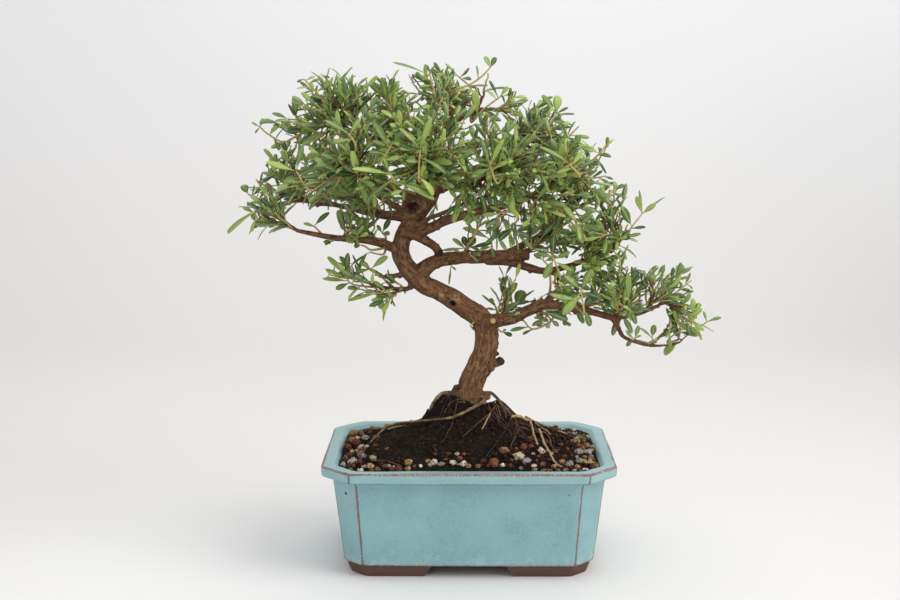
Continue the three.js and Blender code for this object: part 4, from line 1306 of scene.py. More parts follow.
# Thin roots that show in the photo: radius, how old, and the pixels that each one passes
SEEN_ROOTS = [
    (0.85, 0.05, [
        (511, 418), (514.5, 416.3), (520.8, 415.2), (526.5, 416.7), (529.7, 420.6), (531.6, 426.9),
        (533.5, 434.6), (536.1, 442.2), (537.3, 445.4),
    ]),
    (0.75, 0, [
        (539, 430), (541.8, 437.1), (543.7, 443.5), (547.6, 449.9), (551.4, 457.6), (555.8, 464.6),
        (561.6, 468),
    ]),
    (0.65, 0.35, [
        (526, 416.5), (534.8, 419.9), (542.4, 425), (550.1, 426.9), (555.2, 430.1), (561.6, 432.7),
        (570.5, 435.2),
    ]),
    (0.5, 0.8, [(528, 419), (532.2, 424.4), (537.3, 430.8), (545.6, 434), (550.1, 439.7), (550.7, 446.1)]),
    (0.5, 0.25, [(535, 421), (539.9, 426.9), (547.6, 432), (550.1, 435.2)]),
    (0.45, 0.93, [(495.3, 406.5), (488.9, 414.2), (477.4, 424.4), (462.7, 437.1)]),
    (0.45, 0.1, [(490.5, 414), (485.7, 423.1), (481.9, 430.1)]),
    (0.35, 0.85, [
        (527.3, 430), (523.3, 427.4), (519.2, 429), (517.1, 435.1), (513, 441.2), (510.5, 448.4),
    ]),
    (0.4, 0.88, [(544, 439), (549.8, 443.3), (553.9, 449.4), (560, 450.4)]),
    (0.4, 0.92, [(533, 421), (541.6, 424.9), (551.8, 426.9), (561, 431), (568.2, 435.1), (573.3, 438.2)]),
    (0.35, 0.92, [(525.3, 415.7), (531.4, 417.8), (537.6, 422.9), (545.7, 428), (551.8, 435.1)]),
    (0.45, 0.85, [(375.5, 461.8), (383.6, 461.3), (392.5, 463.6), (401.4, 467.1)]),
    (0.35, 0.85, [(432.7, 446.6), (436.3, 452)]),
    (0.55, 0.2, [(388, 429), (394, 427.5), (400, 426.3), (406.5, 426)]),
    (0.5, 0.9, [(494, 403.5), (500, 408), (507, 411), (512, 415)]),
    (0.4, 0.8, [(497, 405), (499, 411), (501, 417)]),
    (0.4, 0.7, [(503, 409), (505.5, 414), (506, 419)]),
    (0.35, 0.8, [(515, 419), (517, 425), (516, 431)]),
]
# How far back a root may start and may turn back at each pixel, and the most that it stands off the soil
FARTHEST_ROOT = 8
BACKWARD_STEP = 2.5
MOST_LIFT = 2.2
ROOT_STRIDE = 1.6
PATH_STEP = 1.2


def lie_on_soil(pixels, radius):
    """Places along the soil that show at some pixels, none of them far behind the one before it"""
    path = []
    far = FARTHEST_ROOT
    for across, down in pixels:
        x, y, z = seen_on_soil(across, down, far)
        ground = ground_height(x, y)
        path.append((x, y, min(max(z, ground + 0.6 * radius), ground + MOST_LIFT)))
        far = y + BACKWARD_STEP
    return path


def make_fine_roots(material):
    random = np.random.default_rng(ROOT_SEED)
    shape = Shape()
    for radius, age, pixels in SEEN_ROOTS:
        places = lie_on_soil(pixels, radius)
        path, radii = smooth_path(places, tapered(radius, 0.75 * radius, places), PATH_STEP)
        path = path + 0.12 * radius * random.normal(size=path.shape)
        shape.add(*tube(path, radii, 8), age=age)
    for index in range(FINE_ROOTS):
        to_right = index % 8 != 0
        angle = random.uniform(-1.7, 0.9) if to_right else random.uniform(1.2, 5.2)
        x = random.uniform(8, 32) if to_right else 10 * math.cos(angle)
        y = random.uniform(-9, 5) if to_right else 7 * math.sin(angle)
        length = random.uniform(8, 30)
        radius = random.uniform(0.18, 0.36)
        path = []
        for _ in range(int(length / ROOT_STRIDE)):
            if not inside_pot(x, y, 2):
                break
            lift = radius * (0.4 + 0.9 * math.sin(len(path) * 0.35 + index) ** 2)
            path.append((x, y, ground_height(x, y) + lift))
            angle += random.normal(0, 0.24)
            x += ROOT_STRIDE * math.cos(angle)
            y += ROOT_STRIDE * math.sin(angle)
        if len(path) >= 4:
            path, radii = smooth_path(path, tapered(radius, 0.5 * radius, path), PATH_STEP)
            shape.add(*tube(path, radii, 6), age=random.uniform(0.85, 1))
    shape.show("fine_roots", material, "bark")


# Leaves

SPRAYS = [
    [(-110, -8, 198), (-109, -17, 190)], [(-110, 13, 205)], [(-105, -6, 221)],
    [(-88, -36, 216), (-79, -40, 209)], [(-93, 34, 200)], [(-88, -4, 241)], [(-84, 16, 251)],
    [(-68, -16, 254)], [(-66, 8, 260), (-52, -4, 259)], [(-90, 30, 229)],
    [(-69, -42, 231), (-54, -44, 244)], [(-62, 40, 243)], [(-38, -26, 255)],
    [(-18, -8, 259), (-33, 8, 259)], [(-41, 44, 249)], [(-22, -42, 249), (-8, -36, 247)],
    [(-6, 16, 258), (9, 24, 247)], [(10, 0, 270)], [(-14, 44, 249)], [(-56, -54, 216), (-38, -52, 209)],
    [(-40, -56, 233)], [(-24, -64, 226)], [(-8, -58, 233)], [(10, -56, 226), (-6, -46, 211)],
    [(-75, 54, 219), (-79, 48, 203)], [(-42, 60, 229)], [(-10, 62, 231), (-22, 54, 204)], [(22, 60, 226)],
    [(46, 50, 212)], [(10, 52, 197)], [(20, -14, 250)], [(34, 8, 241)], [(43, -20, 238)], [(52, 26, 231)],
    [(26, -44, 231)], [(47, -42, 220)], [(58, 2, 221), (65, -20, 209)], [(67, 24, 205)],
    [(36, -38, 202), (16, -32, 195)], [(77, 0, 197), (72, -12, 182)], [(88, 5, 187)], [(41, 34, 182)],
    [(52, -24, 156)], [(72, 14, 157)], [(86, -30, 150)], [(102, -12, 154), (115, 6, 145)],
    [(125, -10, 134), (109, -20, 131)], [(86, 14, 136)], [(24, 4, 143)], [(46, 6, 133)], [(-64, -12, 160)],
    [(-47, -10, 148)], [(-64, -28, 188)],
]
# More tips, each grown with the spray whose number it has
MORE_TIPS = [
    (35, (5, -40, 207)), (28, (30, 48, 194)), (24, (22, -44, 212)), (43, (54, -28, 189)),
    (44, (60, 14, 139)), (39, (0, -6, 178)), (39, (21, -18, 185)), (26, (-54, 58, 225)),
    (25, (-40, 52, 202)), (34, (45, 26, 190)), (40, (62, -6, 182)), (40, (70, 12, 178)),
    (44, (88, -4, 157)), (6, (-100, 0, 233)), (3, (-97, -12, 221)), (9, (-76, -6, 258)), (32, (46, 4, 240)),
    (22, (-34, -50, 240)), (35, (36, -44, 224)), (53, (-58, -8, 190)), (5, (-65, -4, 204)),
    (5, (-55, 0, 201)), (43, (40, 6, 179)), (43, (49, 4, 183)), (44, (72, -4, 163)), (45, (83, -6, 157)),
    (38, (62, 14, 206)), (34, (38, 18, 222)), (37, (50, 14, 212)), (13, (-31, -20, 250)),
    (16, (10, -30, 240)), (34, (64, 14, 224)), (24, (-6, -40, 203)), (45, (72, -14, 149)),
    (6, (-82, -20, 235)), (11, (-56, -46, 229)), (22, (-34, -58, 219)), (22, (-24, -50, 214)),
    (24, (-12, -48, 212)),
]
# Sprays with few side shoots: spray and side shoots
SPARSE = {1: 3, 18: 0, 53: 2, 51: 2, 52: 3, 47: 2, 41: 1}
# Sprays with fewer nodes on their main shoots
THIN = {18: 3, 53: 4, 51: 4, 47: 4, 41: 3}
LEAF_ROWS = np.array([0.06, 0.16, 0.32, 0.52, 0.72, 0.88, 0.975])
LEAF_RING = np.array([-1, -0.45, 0, 0.45, 1, 0])
LEAF_SIDE = np.array([0.5, 0, 0, 0, 0.5, 1])
STALK_SHARE = 0.1
STALK_WIDTH = 0.62
LEAF_THICKNESS = 0.32
# Draws for each leaf: mean and spread of its curl, its fold, spread of its twist and tone, fullest place
LEAF_CURL = (0.25, 0.35)
LEAF_FOLD = (0.05, 0.4)
TWIST_SPREAD = 0.28
TONE_SPREAD = 0.3
FULLEST = (0.5, 0.66)


def leaf_faces():
    """Faces of a leaf: a base point, rings of points and a tip point"""
    ring = len(LEAF_RING)
    rows = len(LEAF_ROWS)
    faces = []
    for i in range(ring):
        j = (i + 1) % ring
        faces.append([0, 1 + j, 1 + i])
        for row in range(rows - 1):
            a = 1 + row * ring
            faces.append([a + i, a + j, a + j + ring, a + i + ring])
        last = 1 + (rows - 1) * ring
        faces.append([last + i, last + j, last + ring])
    return faces


LEAF_FACES = leaf_faces()
LEAF_ACROSS = np.concatenate([[0], np.tile(LEAF_RING, len(LEAF_ROWS)), [0]])
LEAF_UNDER = np.concatenate([[0.5], np.tile(LEAF_SIDE, len(LEAF_ROWS)), [0.5]])
LEAF_STALK = np.concatenate([[1], np.repeat(smooth_step(0.2, 0.1, LEAF_ROWS), len(LEAF_RING)), [0]])


def leaf_half_width(width, fullest):
    """Half of a leaf's width at each row: a stalk, then a blade that is fullest past its middle"""
    share = np.clip((LEAF_ROWS - STALK_SHARE) / (1 - STALK_SHARE), 0, 1)
    rising = np.sin(np.clip(share / fullest, 0, 1) * math.pi / 2) ** 1.3
    falling = np.sqrt(np.clip(1 - np.clip((share - fullest) / (1 - fullest), 0, 1) ** 2.3, 0, 1))
    return np.maximum(STALK_WIDTH, width * np.where(share < fullest, rising, falling)) / 2


def add_leaf(shape, root, along, top, length, width, random, tone=0.4):
    """Adds one leaf that is folded along its midrib, bends and twists a little"""
    curl = random.normal(*LEAF_CURL)
    fold = random.uniform(*LEAF_FOLD)
    twist = random.normal(0, TWIST_SPREAD)
    half = leaf_half_width(width, random.uniform(*FULLEST))
    stations = np.concatenate([[0], LEAF_ROWS, [1]])
    bend = curl * (0.35 - stations)
    steps = np.diff(stations, prepend=0)
    ahead = np.cumsum(steps * np.cos(bend)) * length
    aloft = np.cumsum(steps * np.sin(bend)) * length
    left = np.cross(top, along)
    middle = root + ahead[:, None] * along + aloft[:, None] * top
    inner = middle[1:-1]
    normal = -np.sin(bend[1:-1])[:, None] * along + np.cos(bend[1:-1])[:, None] * top
    turn = (twist * LEAF_ROWS)[:, None]
    sideways = left * np.cos(turn) + normal * np.sin(turn)
    normal = normal * np.cos(turn) - left * np.sin(turn)
    reach = half[:, None] * LEAF_RING[None]
    thick = 0.5 * LEAF_THICKNESS * np.minimum(1, half / STALK_WIDTH)[:, None] * (1 - 2 * LEAF_SIDE)[None]
    away = np.abs(LEAF_RING)[None]
    hollow = fold * half[:, None] * away + 0.1 * half[:, None] * np.sin(math.pi * away)
    rise = hollow + thick
    rings = inner[:, None] + reach[..., None] * sideways[:, None] + rise[..., None] * normal[:, None]
    points = np.concatenate([middle[:1], rings.reshape(-1, 3), middle[-1:]])
    tone = np.clip(random.normal(tone, TONE_SPREAD), 0, 1)
    shape.add(points, LEAF_FACES, across=LEAF_ACROSS, under=LEAF_UNDER, stalk=LEAF_STALK, tone=tone)


# Leafy stems

class Curve:
    """A bent line between two points, pulled towards a third"""

    def __init__(self, start, knee, end):
        self.start, self.knee, self.end = (np.asarray(point, float) for point in (start, knee, end))

    def point(self, share):
        share = np.asarray(share, float)[..., None]
        return self.start * (1 - share) ** 2 + self.knee * 2 * share * (1 - share) + self.end * share ** 2

    def direction(self, share):
        return unit((self.knee - self.start) * (1 - share) + (self.end - self.knee) * share)

    def length(self):
        return (np.linalg.norm(self.start - self.knee) + np.linalg.norm(self.knee - self.end)
                + np.linalg.norm(self.start - self.end)) / 2


def departure(tip, shortest=SHORTEST_STEM):
    """Where a leafy stem leaves the wood: the near place whose limb already heads towards the tip"""
    best = None
    for path, radii in zip(WOOD_PATHS, WOOD_RADII):
        for i in range(len(path) - 1):
            along = unit(path[i + 1] - path[i])
            for share in DEPARTURE_SHARES:
                place = between(path[i], path[i + 1], share)
                reach = tip - place
                distance = np.linalg.norm(reach)
                turning = 1 - along.dot(reach) / distance
                cost = distance * (1 + 0.55 * turning) + (40 if distance < shortest else 0)
                if place[2] > LOWEST_STEM and (best is None or cost < best[0]):
                    best = (cost, place, along, between(radii[i], radii[i + 1], share))
    return best[1:]


def stem_curve(start, along, tip):
    span = np.linalg.norm(tip - start)
    knee = start + along * 0.3 * span + UP * 0.1 * span
    return Curve(start, knee, tip)


def frame_on(curve, share):
    """The place on a curve, its direction there, and two directions across it"""
    along = curve.direction(share)
    side = np.cross(along, UP)
    side = unit(side) if side.dot(side) >= 0.01 else np.array([1.0, 0, 0])
    return curve.point(share), along, side, np.cross(side, along)


class Shoot:
    """A leafy stem: its curve, where its leaves begin, its nodes, the keys of its draws and its radius"""

    def __init__(self, curve, leafy_from, nodes, keys, radius):
        self.curve = curve
        self.leafy_from = leafy_from
        self.nodes = nodes
        self.keys = keys
        self.radius = radius

    def node_share(self, node):
        if node == self.nodes - 1:
            return 1.0
        return between(self.leafy_from, 1, (node + 0.45) / (self.nodes - 0.6))


def leaf_frame(shoot, node, side_of_pair, kind):
    """Where a leaf of an opposite pair grows, its direction, the way its face looks, and its length"""
    keys = shoot.keys
    last = node == shoot.nodes - 1
    place, along, side, lift = frame_on(shoot.curve, shoot.node_share(node))
    spin = (chance(*keys, node, 11) - 0.5) * 0.8 + math.pi / 2 * node + math.pi * side_of_pair
    lean = between(*kind["lean"], chance(*keys, node, side_of_pair, 12))
    length = between(*kind["length"], chance(*keys, node, side_of_pair, 13))
    outwards = side * math.cos(spin) + lift * math.sin(spin)
    heading = along * math.cos(lean) + outwards * math.sin(lean)
    top = along * math.sin(lean) - outwards * math.cos(lean)
    top = unit(top + 0.6 * (UP - heading * heading[2]))
    root = place - along * (0.3 if last else 0)
    return root, heading, top, length


# How far along a shoot some of the leaves have dropped, and how many of them
INNER_SHARE = 0.45
LOST_LEAVES = 0.22
BUD_CHANCE = 0.35
# Tone of a shoot's leaves from the inner ones to the tip: older inner leaves darker, partly as their own
# colour and partly as painted shade inside the crown, young tips lighter and yellower
INNER_TONE = 0.28
TIP_TONE = 0.56
# Gaps and edges of the crown where the photo shows no leaves: first and last pixel across, then down
OPEN_VIEWS = [
    (281, 337, 211, 238), (255, 288, 100, 118), (232, 255, 150, 181), (228, 243, 193, 205),
    (236, 250, 209, 230), (255, 300, 233, 258), (300, 323, 255, 300), (325, 346, 281, 296),
    (400, 424, 40, 72), (424, 445, 40, 63), (462, 484, 40, 84), (481, 497, 88, 106), (494, 540, 50, 84),
    (524, 552, 60, 94), (565, 600, 80, 116), (575, 602, 113, 134), (601, 635, 150, 180),
    (645, 700, 180, 232), (626, 641, 196, 228), (646, 700, 222, 258), (626, 656, 250, 265),
    (655, 700, 240, 262), (694, 735, 250, 284), (704, 740, 288, 311), (636, 664, 311, 324),
    (536, 600, 330, 355), (517, 553, 271, 296), (456, 480, 226, 240), (499, 514, 209, 224),
    (404, 426, 194, 216), (436, 449, 191, 214),
]


def seen_pixel(point):
    """The pixel of the photo at which a place shows"""
    across, away, up = np.asarray(point, float) - CAMERA_PLACE
    aside = across * math.cos(CAMERA_YAW) + away * math.sin(CAMERA_YAW)
    away = away * math.cos(CAMERA_YAW) - across * math.sin(CAMERA_YAW)
    ahead = away * math.cos(CAMERA_PITCH) - up * math.sin(CAMERA_PITCH)
    aloft = away * math.sin(CAMERA_PITCH) + up * math.cos(CAMERA_PITCH)
    return IMAGE_SIZE[0] / 2 + FOCAL_PIXELS * aside / ahead, IMAGE_SIZE[1] / 2 - FOCAL_PIXELS * aloft / ahead


def in_open_view(point):
    across, down = seen_pixel(point)
    return any(left < across < right and top < down < bottom for left, right, top, bottom in OPEN_VIEWS)


def add_bud(shape, shoot, node, pair, tone, random):
    """Adds a small leaf beside a larger one"""
    root, heading, top, _ = leaf_frame(shoot, node, pair, BUD_LEAF)
    size = random.uniform(*BUD_LEAF["length"])
    spread = unit(heading + 0.5 * random.normal(size=3))
    top = unit(top - spread * top.dot(spread))
    if not in_open_view(root + spread * size):
        add_leaf(shape, root, spread, top, size, size * random.uniform(0.36, 0.5), random, tone + 0.1)


def add_leaves(shape, shoot, kind, random):
    for node in range(shoot.nodes):
        last = node == shoot.nodes - 1
        leaf_kind = TIP_LEAF if last and kind is not BUD_LEAF else kind
        share = node / max(1, shoot.nodes - 1)
        # Darker towards the shoot's foot: partly older leaves, partly painted shade inside the crown
        tone = between(INNER_TONE, TIP_TONE, share)
        for pair in (0, 1):
            root, heading, top, length = leaf_frame(shoot, node, pair, leaf_kind)
            width = (LEAF_WIDTH_BASE + LEAF_WIDTH_SHARE * length) * random.uniform(0.85, 1.15)
            if share < INNER_SHARE and random.random() < LOST_LEAVES:
                continue
            if not any(in_open_view(root + heading * reach * length) for reach in (1, 0.6)):
                add_leaf(shape, root, heading, top, length, width, random, tone)
            if random.random() < BUD_CHANCE:
                add_bud(shape, shoot, node, pair, tone, random)


def add_stem(shape, shoot, random, age):
    """Adds the twig of a shoot, a little thicker at its nodes"""
    span = shoot.curve.length()
    steps = max(6, int(span / 1.5))
    shares = np.linspace(0, 1, steps)
    path = shoot.curve.point(shares)
    radii = np.linspace(shoot.radius, STEM_TIP_RADIUS * 0.9, steps)
    for node in range(shoot.nodes):
        radii = radii * (1 + 0.28 * np.exp(-((shares - shoot.node_share(node)) * span / 0.7) ** 2))
    free = (shares > 0.05)[:, None] * (shares < 0.98)[:, None]
    path = path + 0.28 * random.normal(size=path.shape) * free
    ages = np.repeat(np.clip(age - 0.9 * shares, 0, 1), STEM_SIDES)
    shape.add(*tube(path, radii, STEM_SIDES), age=ages)


def branching(shoot, count, low, kind, half_turn=False):
    """Short shoots that leave a longer one; with half_turn the first keeps to one half of it"""
    made = []
    for order in range(count):
        keys = [*shoot.keys, kind["first_key"] + order]
        share = between(low, kind["high"], (order + chance(*keys, 1)) / count)
        place, along, side, lift = frame_on(shoot.curve, share)
        angle = (1 if half_turn and order == 0 else 2) * math.pi * chance(*keys, 2)
        outwards = side * math.cos(angle) + lift * math.sin(angle)
        size, least, most = kind["length"]
        length = size * between(least, most, chance(*keys, 3))
        forth, out = kind["knee"]
        knee = place + along * forth * length + outwards * out * length
        forth, out, up = kind["end"]
        end = place + along * forth * length + outwards * out * length + UP * up * length
        made.append(Shoot(Curve(place, knee, end), kind["leafy_from"], kind["nodes"], keys, kind["radius"]))
    return made


def side_shoots(shoot, count):
    """Leafy shoots along a stem"""
    return branching(shoot, count, max(shoot.leafy_from - 0.18, 0.12), SIDE_SHOOT, True)


def bare_twigs(shoot):
    """Thin woody twigs with one pair of small leaves, along the older part of a stem"""
    return branching(shoot, BARE_TWIGS, 0.15, BARE_TWIG)


def spray_shoots(number, tips):
    """The main shoots of a spray: the first leaves the wood, the others fork from it or from the wood"""
    shoots = []
    nodes = THIN.get(number + 1, LEADER_NODES)
    for order, tip in enumerate(tips):
        tip = np.array(tip, float)
        if order == 1 and len(SPRAYS[number]) == 2:
            first = shoots[0]
            place, along, _, _ = frame_on(first.curve, between(first.leafy_from, 1, 0.1))
            shoots.append(Shoot(stem_curve(place, along, tip), 0.25, nodes, [number, order], STEM_RADIUS))
            continue
        place, along, radius = departure(tip)
        curve = stem_curve(place, along, tip)
        base = max(1.1, min(2.0, 0.8 * radius))
        leafy_from = max(radius / curve.length() + 0.08, 1 - LEAFY_LENGTH / curve.length())
        shoots.append(Shoot(curve, leafy_from, nodes, [number, order], base))
    return shoots


# Sprigs that stand out in the photo: the spray that each belongs to, its depth, the pixels that its stem
# passes, and its leaves as (pixel at the foot, pixel at the tip, width)
SEEN_SPRIGS = [
    (22, -67, [(419, 181), (420, 149)], [
        ((416, 147), (401, 127), 3.4), ((422, 147), (431, 117), 3.4), ((418, 152), (399, 144), 2.6),
        ((421, 158), (448, 172), 3.4), ((419, 176), (436, 195), 4.2), ((418, 172), (405, 183), 2.6)]),
    (21, -66, [(398, 184), (389, 172)], [
        ((391, 174), (353, 166), 4.4), ((396, 182), (437, 196), 4.6), ((393, 180), (362, 203), 4),
        ((390, 172), (384, 158), 2.6)]),
    (22, -63, [(381, 162), (391, 146)], [
        ((390, 147), (373, 121), 3.8), ((391, 146), (404, 128), 2.6), ((386, 155), (368, 151), 3),
        ((383, 160), (400, 157), 2.8)]),
    (11, -57, [(356, 146), (348, 133)], [
        ((348, 134), (325, 120), 4), ((349, 134), (360, 118), 2.8), ((352, 140), (334, 141), 2.6)]),
    (5, -46, [(310, 190), (296, 171)], [
        ((295, 171), (266, 162), 3.6), ((297, 170), (303, 145), 3.4), ((299, 175), (318, 168), 3),
        ((304, 183), (283, 181), 2.6)]),
    (6, -4, [(284, 142), (268, 134), (260, 127)], [
        ((260, 127), (252, 122), 1.6), ((260, 127), (263, 118), 2), ((260, 128), (255, 133), 1.4),
        ((270, 135), (277, 125), 2.6), ((273, 137), (280, 150), 2.4)]),
    (7, 8, [(324, 145), (312, 130), (300, 121), (288, 119)], [
        ((289, 119), (272, 112), 2.4), ((290, 119), (281, 128), 2.2), ((296, 120), (294, 96), 3.8),
        ((301, 121), (288, 104), 2.6), ((305, 124), (317, 112), 3)]),
    (9, -6, [(330, 108), (316, 92), (304, 79)], [
        ((304, 79), (297, 82), 1.4), ((305, 80), (315, 76), 1.8), ((309, 84), (320, 79), 2.2),
        ((312, 87), (297, 88), 1.6), ((316, 92), (330, 84), 2.6), ((314, 90), (301, 94), 1.6)]),
    (9, -2, [(345, 98), (335, 87), (321, 74)], [
        ((322, 75), (330, 78), 1.6), ((335, 87), (349, 71), 1.6), ((336, 88), (352, 82), 2.4),
        ((333, 85), (343, 78), 2.2), ((341, 93), (357, 90), 2.6)]),
    (13, -18, [(392, 112), (385, 100)], [
        ((385, 101), (370, 80), 4), ((386, 101), (383, 77), 3.6), ((387, 102), (398, 82), 5.6),
        ((388, 104), (372, 98), 3.2), ((389, 106), (404, 97), 3)]),
    (18, -6, [(429, 100), (456, 89), (467, 86), (480, 78), (490, 68)], [
        ((490, 68), (485, 56), 3), ((490, 68), (496, 57), 3), ((479, 79), (477, 65), 1.2),
        ((468, 86), (488, 85), 1.2), ((457, 89), (450, 77), 2.6), ((444, 94), (462, 101), 2.4),
        ((436, 97), (424, 110), 3)]),
    (31, -12, [(472, 122), (484, 109), (500, 97)], [
        ((499, 98), (490, 80), 1.6), ((500, 97), (508, 86), 2.4), ((500, 97), (516, 92), 1.6),
        ((497, 99), (488, 90), 2), ((476, 117), (475, 91), 4.6), ((484, 109), (500, 112), 2.4)]),
    (14, -10, [(434, 90), (430, 74)], [
        ((430, 74), (427, 65), 1.6), ((430, 74), (434, 66), 1.4), ((431, 76), (393, 59), 1.6),
        ((432, 80), (420, 75), 2.2), ((432, 82), (445, 72), 1.8), ((433, 86), (420, 86), 2)]),
    (17, 14, [(470, 88), (458, 76)], [
        ((458, 76), (445, 63), 1.8), ((458, 76), (449, 74), 1.8), ((459, 77), (471, 68), 2.6),
        ((462, 80), (472, 78), 2.6)]),
    (32, 4, [(546, 128), (556, 114)], [
        ((556, 114), (558, 95), 5), ((555, 114), (543, 94), 3.4), ((556, 114), (568, 107), 1.6),
        ((556, 115), (575, 114), 1.4), ((552, 120), (541, 110), 3), ((551, 121), (563, 122), 2.6)]),
    (32, -4, [(528, 122), (517, 112), (514, 106)], [
        ((514, 108), (510, 95), 3.2), ((514, 107), (520, 100), 2), ((515, 110), (527, 97), 2.6)]),
    (34, 6, [(560, 152), (569, 137), (579, 126)], [
        ((571, 136), (589, 137), 2.4), ((570, 136), (558, 128), 2.2), ((566, 142), (580, 145), 2.6)]),
    (37, -2, [(585, 166), (599, 154), (606, 145)], [
        ((600, 158), (612, 155), 2.8), ((597, 160), (606, 173), 1.4), ((590, 165), (599, 164), 2.8),
        ((594, 150), (582, 145), 3.4)]),
    (38, 0, [(580, 183), (586, 177), (594, 178), (606, 176)], [
        ((593, 176), (603, 171), 1.8), ((605, 177), (613, 179), 1.6), ((598, 180), (612, 185), 2.6),
        ((588, 180), (578, 188), 2.6)]),
    (40, -4, [(596, 204), (610, 192), (616, 190)], [
        ((616, 190), (614, 181), 2.8), ((616, 190), (624, 184), 2.4), ((611, 192), (624, 197), 2.2),
        ((606, 196), (600, 183), 2.6)]),
    (41, 0, [(612, 252), (624, 237), (642, 214)], [
        ((642, 214), (637, 196), 3.4), ((643, 213), (640, 190), 1.4), ((643, 213), (655, 203), 3),
        ((645, 211), (665, 196), 1.4), ((624, 222), (621, 206), 5.4), ((633, 231), (645, 226), 1.8),
        ((628, 239), (641, 234), 2.2), ((622, 236), (638, 241), 1.8), ((621, 247), (640, 257), 2),
        ((619, 250), (630, 259), 2), ((618, 244), (608, 234), 3)]),
    (36, -60, [(497, 183), (490, 166)], [
        ((488, 167), (482, 138), 4.4), ((491, 165), (503, 139), 3.6), ((490, 168), (471, 176), 3.8),
        ((494, 176), (520, 172), 3.8), ((491, 170), (514, 157), 3)]),
    (36, -50, [(580, 176), (569, 164)], [
        ((568, 164), (541, 144), 3.2), ((570, 165), (583, 152), 2.8), ((573, 169), (556, 173), 3.2)]),
    (38, -34, [(586, 240), (579, 226)], [
        ((578, 227), (564, 205), 3.8), ((579, 226), (592, 213), 3.4), ((581, 230), (604, 226), 3.4),
        ((583, 234), (568, 236), 2.8)]),
    (43, -32, [(560, 276), (553, 257)], [
        ((552, 257), (537, 252), 3.6), ((553, 257), (553, 234), 4.2), ((553, 259), (544, 278), 4.4),
        ((554, 258), (570, 252), 3.4), ((555, 262), (571, 270), 3.2)]),
    (43, -36, [(584, 314), (581, 290)], [
        ((580, 290), (564, 274), 4.2), ((581, 289), (591, 269), 4.6), ((581, 292), (562, 313), 5),
        ((582, 292), (600, 296), 3.8), ((584, 310), (591, 326), 3.6), ((582, 300), (548, 294), 4.2)]),
    (49, 12, [(497, 312), (494, 303)], [
        ((496, 308), (482, 295), 1.6), ((495, 304), (490, 298), 2.6), ((496, 309), (508, 299), 2),
        ((496, 310), (486, 308), 1.8)]),
    (49, 10, [(520, 314), (511, 303)], [
        ((512, 305), (502, 284), 3.8), ((512, 304), (509, 278), 1.2), ((515, 309), (523, 290), 7),
        ((514, 307), (533, 288), 1.6), ((516, 310), (498, 309), 3.4)]),
    (49, 4, [(553, 318), (545, 325), (532, 329), (523, 320)], [
        ((527, 327), (510, 329), 2.4), ((524, 322), (518, 317), 2.6), ((534, 328), (522, 334), 1.8)]),
    (49, -4, [(474, 322), (470, 326)], [((470, 326), (475, 330), 2.4)]),
    (49, -3, [(498, 329), (502, 332)], [((502, 332), (512, 335), 2.8), ((502, 332), (506, 329), 1.6)]),
    (39, 3, [(453, 262), (451, 266)], [((451, 266), (449, 284), 1.2), ((452, 266), (456, 270), 1.6)]),
    (39, 2, [(470, 252), (466, 248)], [
        ((465, 249), (442, 250), 2.6), ((466, 248), (464, 236), 3.6), ((467, 248), (475, 237), 5)]),
    (39, 2, [(492, 250), (491, 236)], [
        ((491, 240), (463, 226), 4), ((491, 238), (487, 223), 3), ((491, 239), (499, 218), 3),
        ((492, 241), (511, 230), 3.8), ((492, 246), (480, 249), 3.2), ((492, 248), (494, 257), 3)]),
    (51, -12, [(384, 279), (371, 269)], [
        ((372, 269), (387, 255), 3.6), ((370, 269), (361, 261), 3.4), ((371, 270), (356, 272), 2.8),
        ((374, 271), (372, 284), 2)]),
    (51, -10, [(372, 287), (352, 284), (346, 276)], [
        ((346, 276), (328, 256), 3.4), ((347, 277), (325, 269), 2.8), ((349, 280), (323, 278), 2.8),
        ((347, 276), (348, 253), 3.4), ((352, 283), (366, 252), 2.4), ((350, 282), (336, 288), 3)]),
    (52, -10, [(392, 289), (380, 293)], [
        ((380, 294), (348, 298), 3), ((381, 293), (381, 309), 3.8), ((386, 291), (374, 281), 2.6)]),
    (53, -7, [(386, 240), (380, 239), (371, 237), (364, 233), (357, 229)], [
        ((363, 232), (377, 220), 2.8), ((363, 228), (355, 218), 2.2), ((362, 226), (364, 217), 5),
        ((355, 228), (345, 227), 1.6), ((360, 234), (343, 239), 3.2)]),
    (53, -5, [(386, 237), (382, 233)], [
        ((375, 235), (390, 234), 3), ((382, 232), (390, 219), 3.4), ((381, 232), (377, 225), 2.6)]),
    (53, -9, [(384, 248), (371, 250), (366, 247), (361, 245)], [((360, 243), (354, 246), 3)]),
    (53, -9, [(384, 254), (378, 254), (370, 252)], [((366, 252), (352, 263), 1.8)]),
    (47, -15, [(633, 340), (635, 338)], [
        ((634, 339), (625, 330), 2.6), ((633, 340), (626, 346), 2.6), ((636, 338), (638, 325), 2.8),
        ((636, 337), (641, 335), 1.2)]),
    (47, -15.5, [(653, 344), (652, 338)], [
        ((653, 334), (654, 324), 3.4), ((653, 339), (675, 327), 3.2), ((652, 338), (640, 327), 2),
        ((654, 342), (657, 342), 1.4)]),
    (47, -14, [(667, 343), (671, 337), (680, 331), (688, 325), (694, 320)], [
        ((679, 336), (664, 355), 5), ((680, 335), (697, 334), 2.8), ((683, 331), (699, 328), 3),
        ((679, 331), (664, 308), 3.2), ((682, 330), (673, 310), 3.2), ((692, 319), (693, 298), 3.4),
        ((698, 318), (699, 302), 3), ((694, 317), (675, 306), 3)]),
    (47, -12, [(692, 332), (699, 327), (707, 322)], [
        ((707, 322), (721, 316), 2.2), ((708, 321), (703, 311), 2.2)]),
    (43, -12, [(549, 268), (543, 260)], [
        ((543, 260), (534, 254), 3), ((545, 262), (557, 256), 3), ((543, 260), (545, 250), 2.8)]),
    (53, -14, [(322, 234), (314, 226)], [
        ((314, 226), (329, 212), 3.2), ((315, 228), (304, 222), 2)]),
    (53, -12, [(341, 208), (340, 213)], [
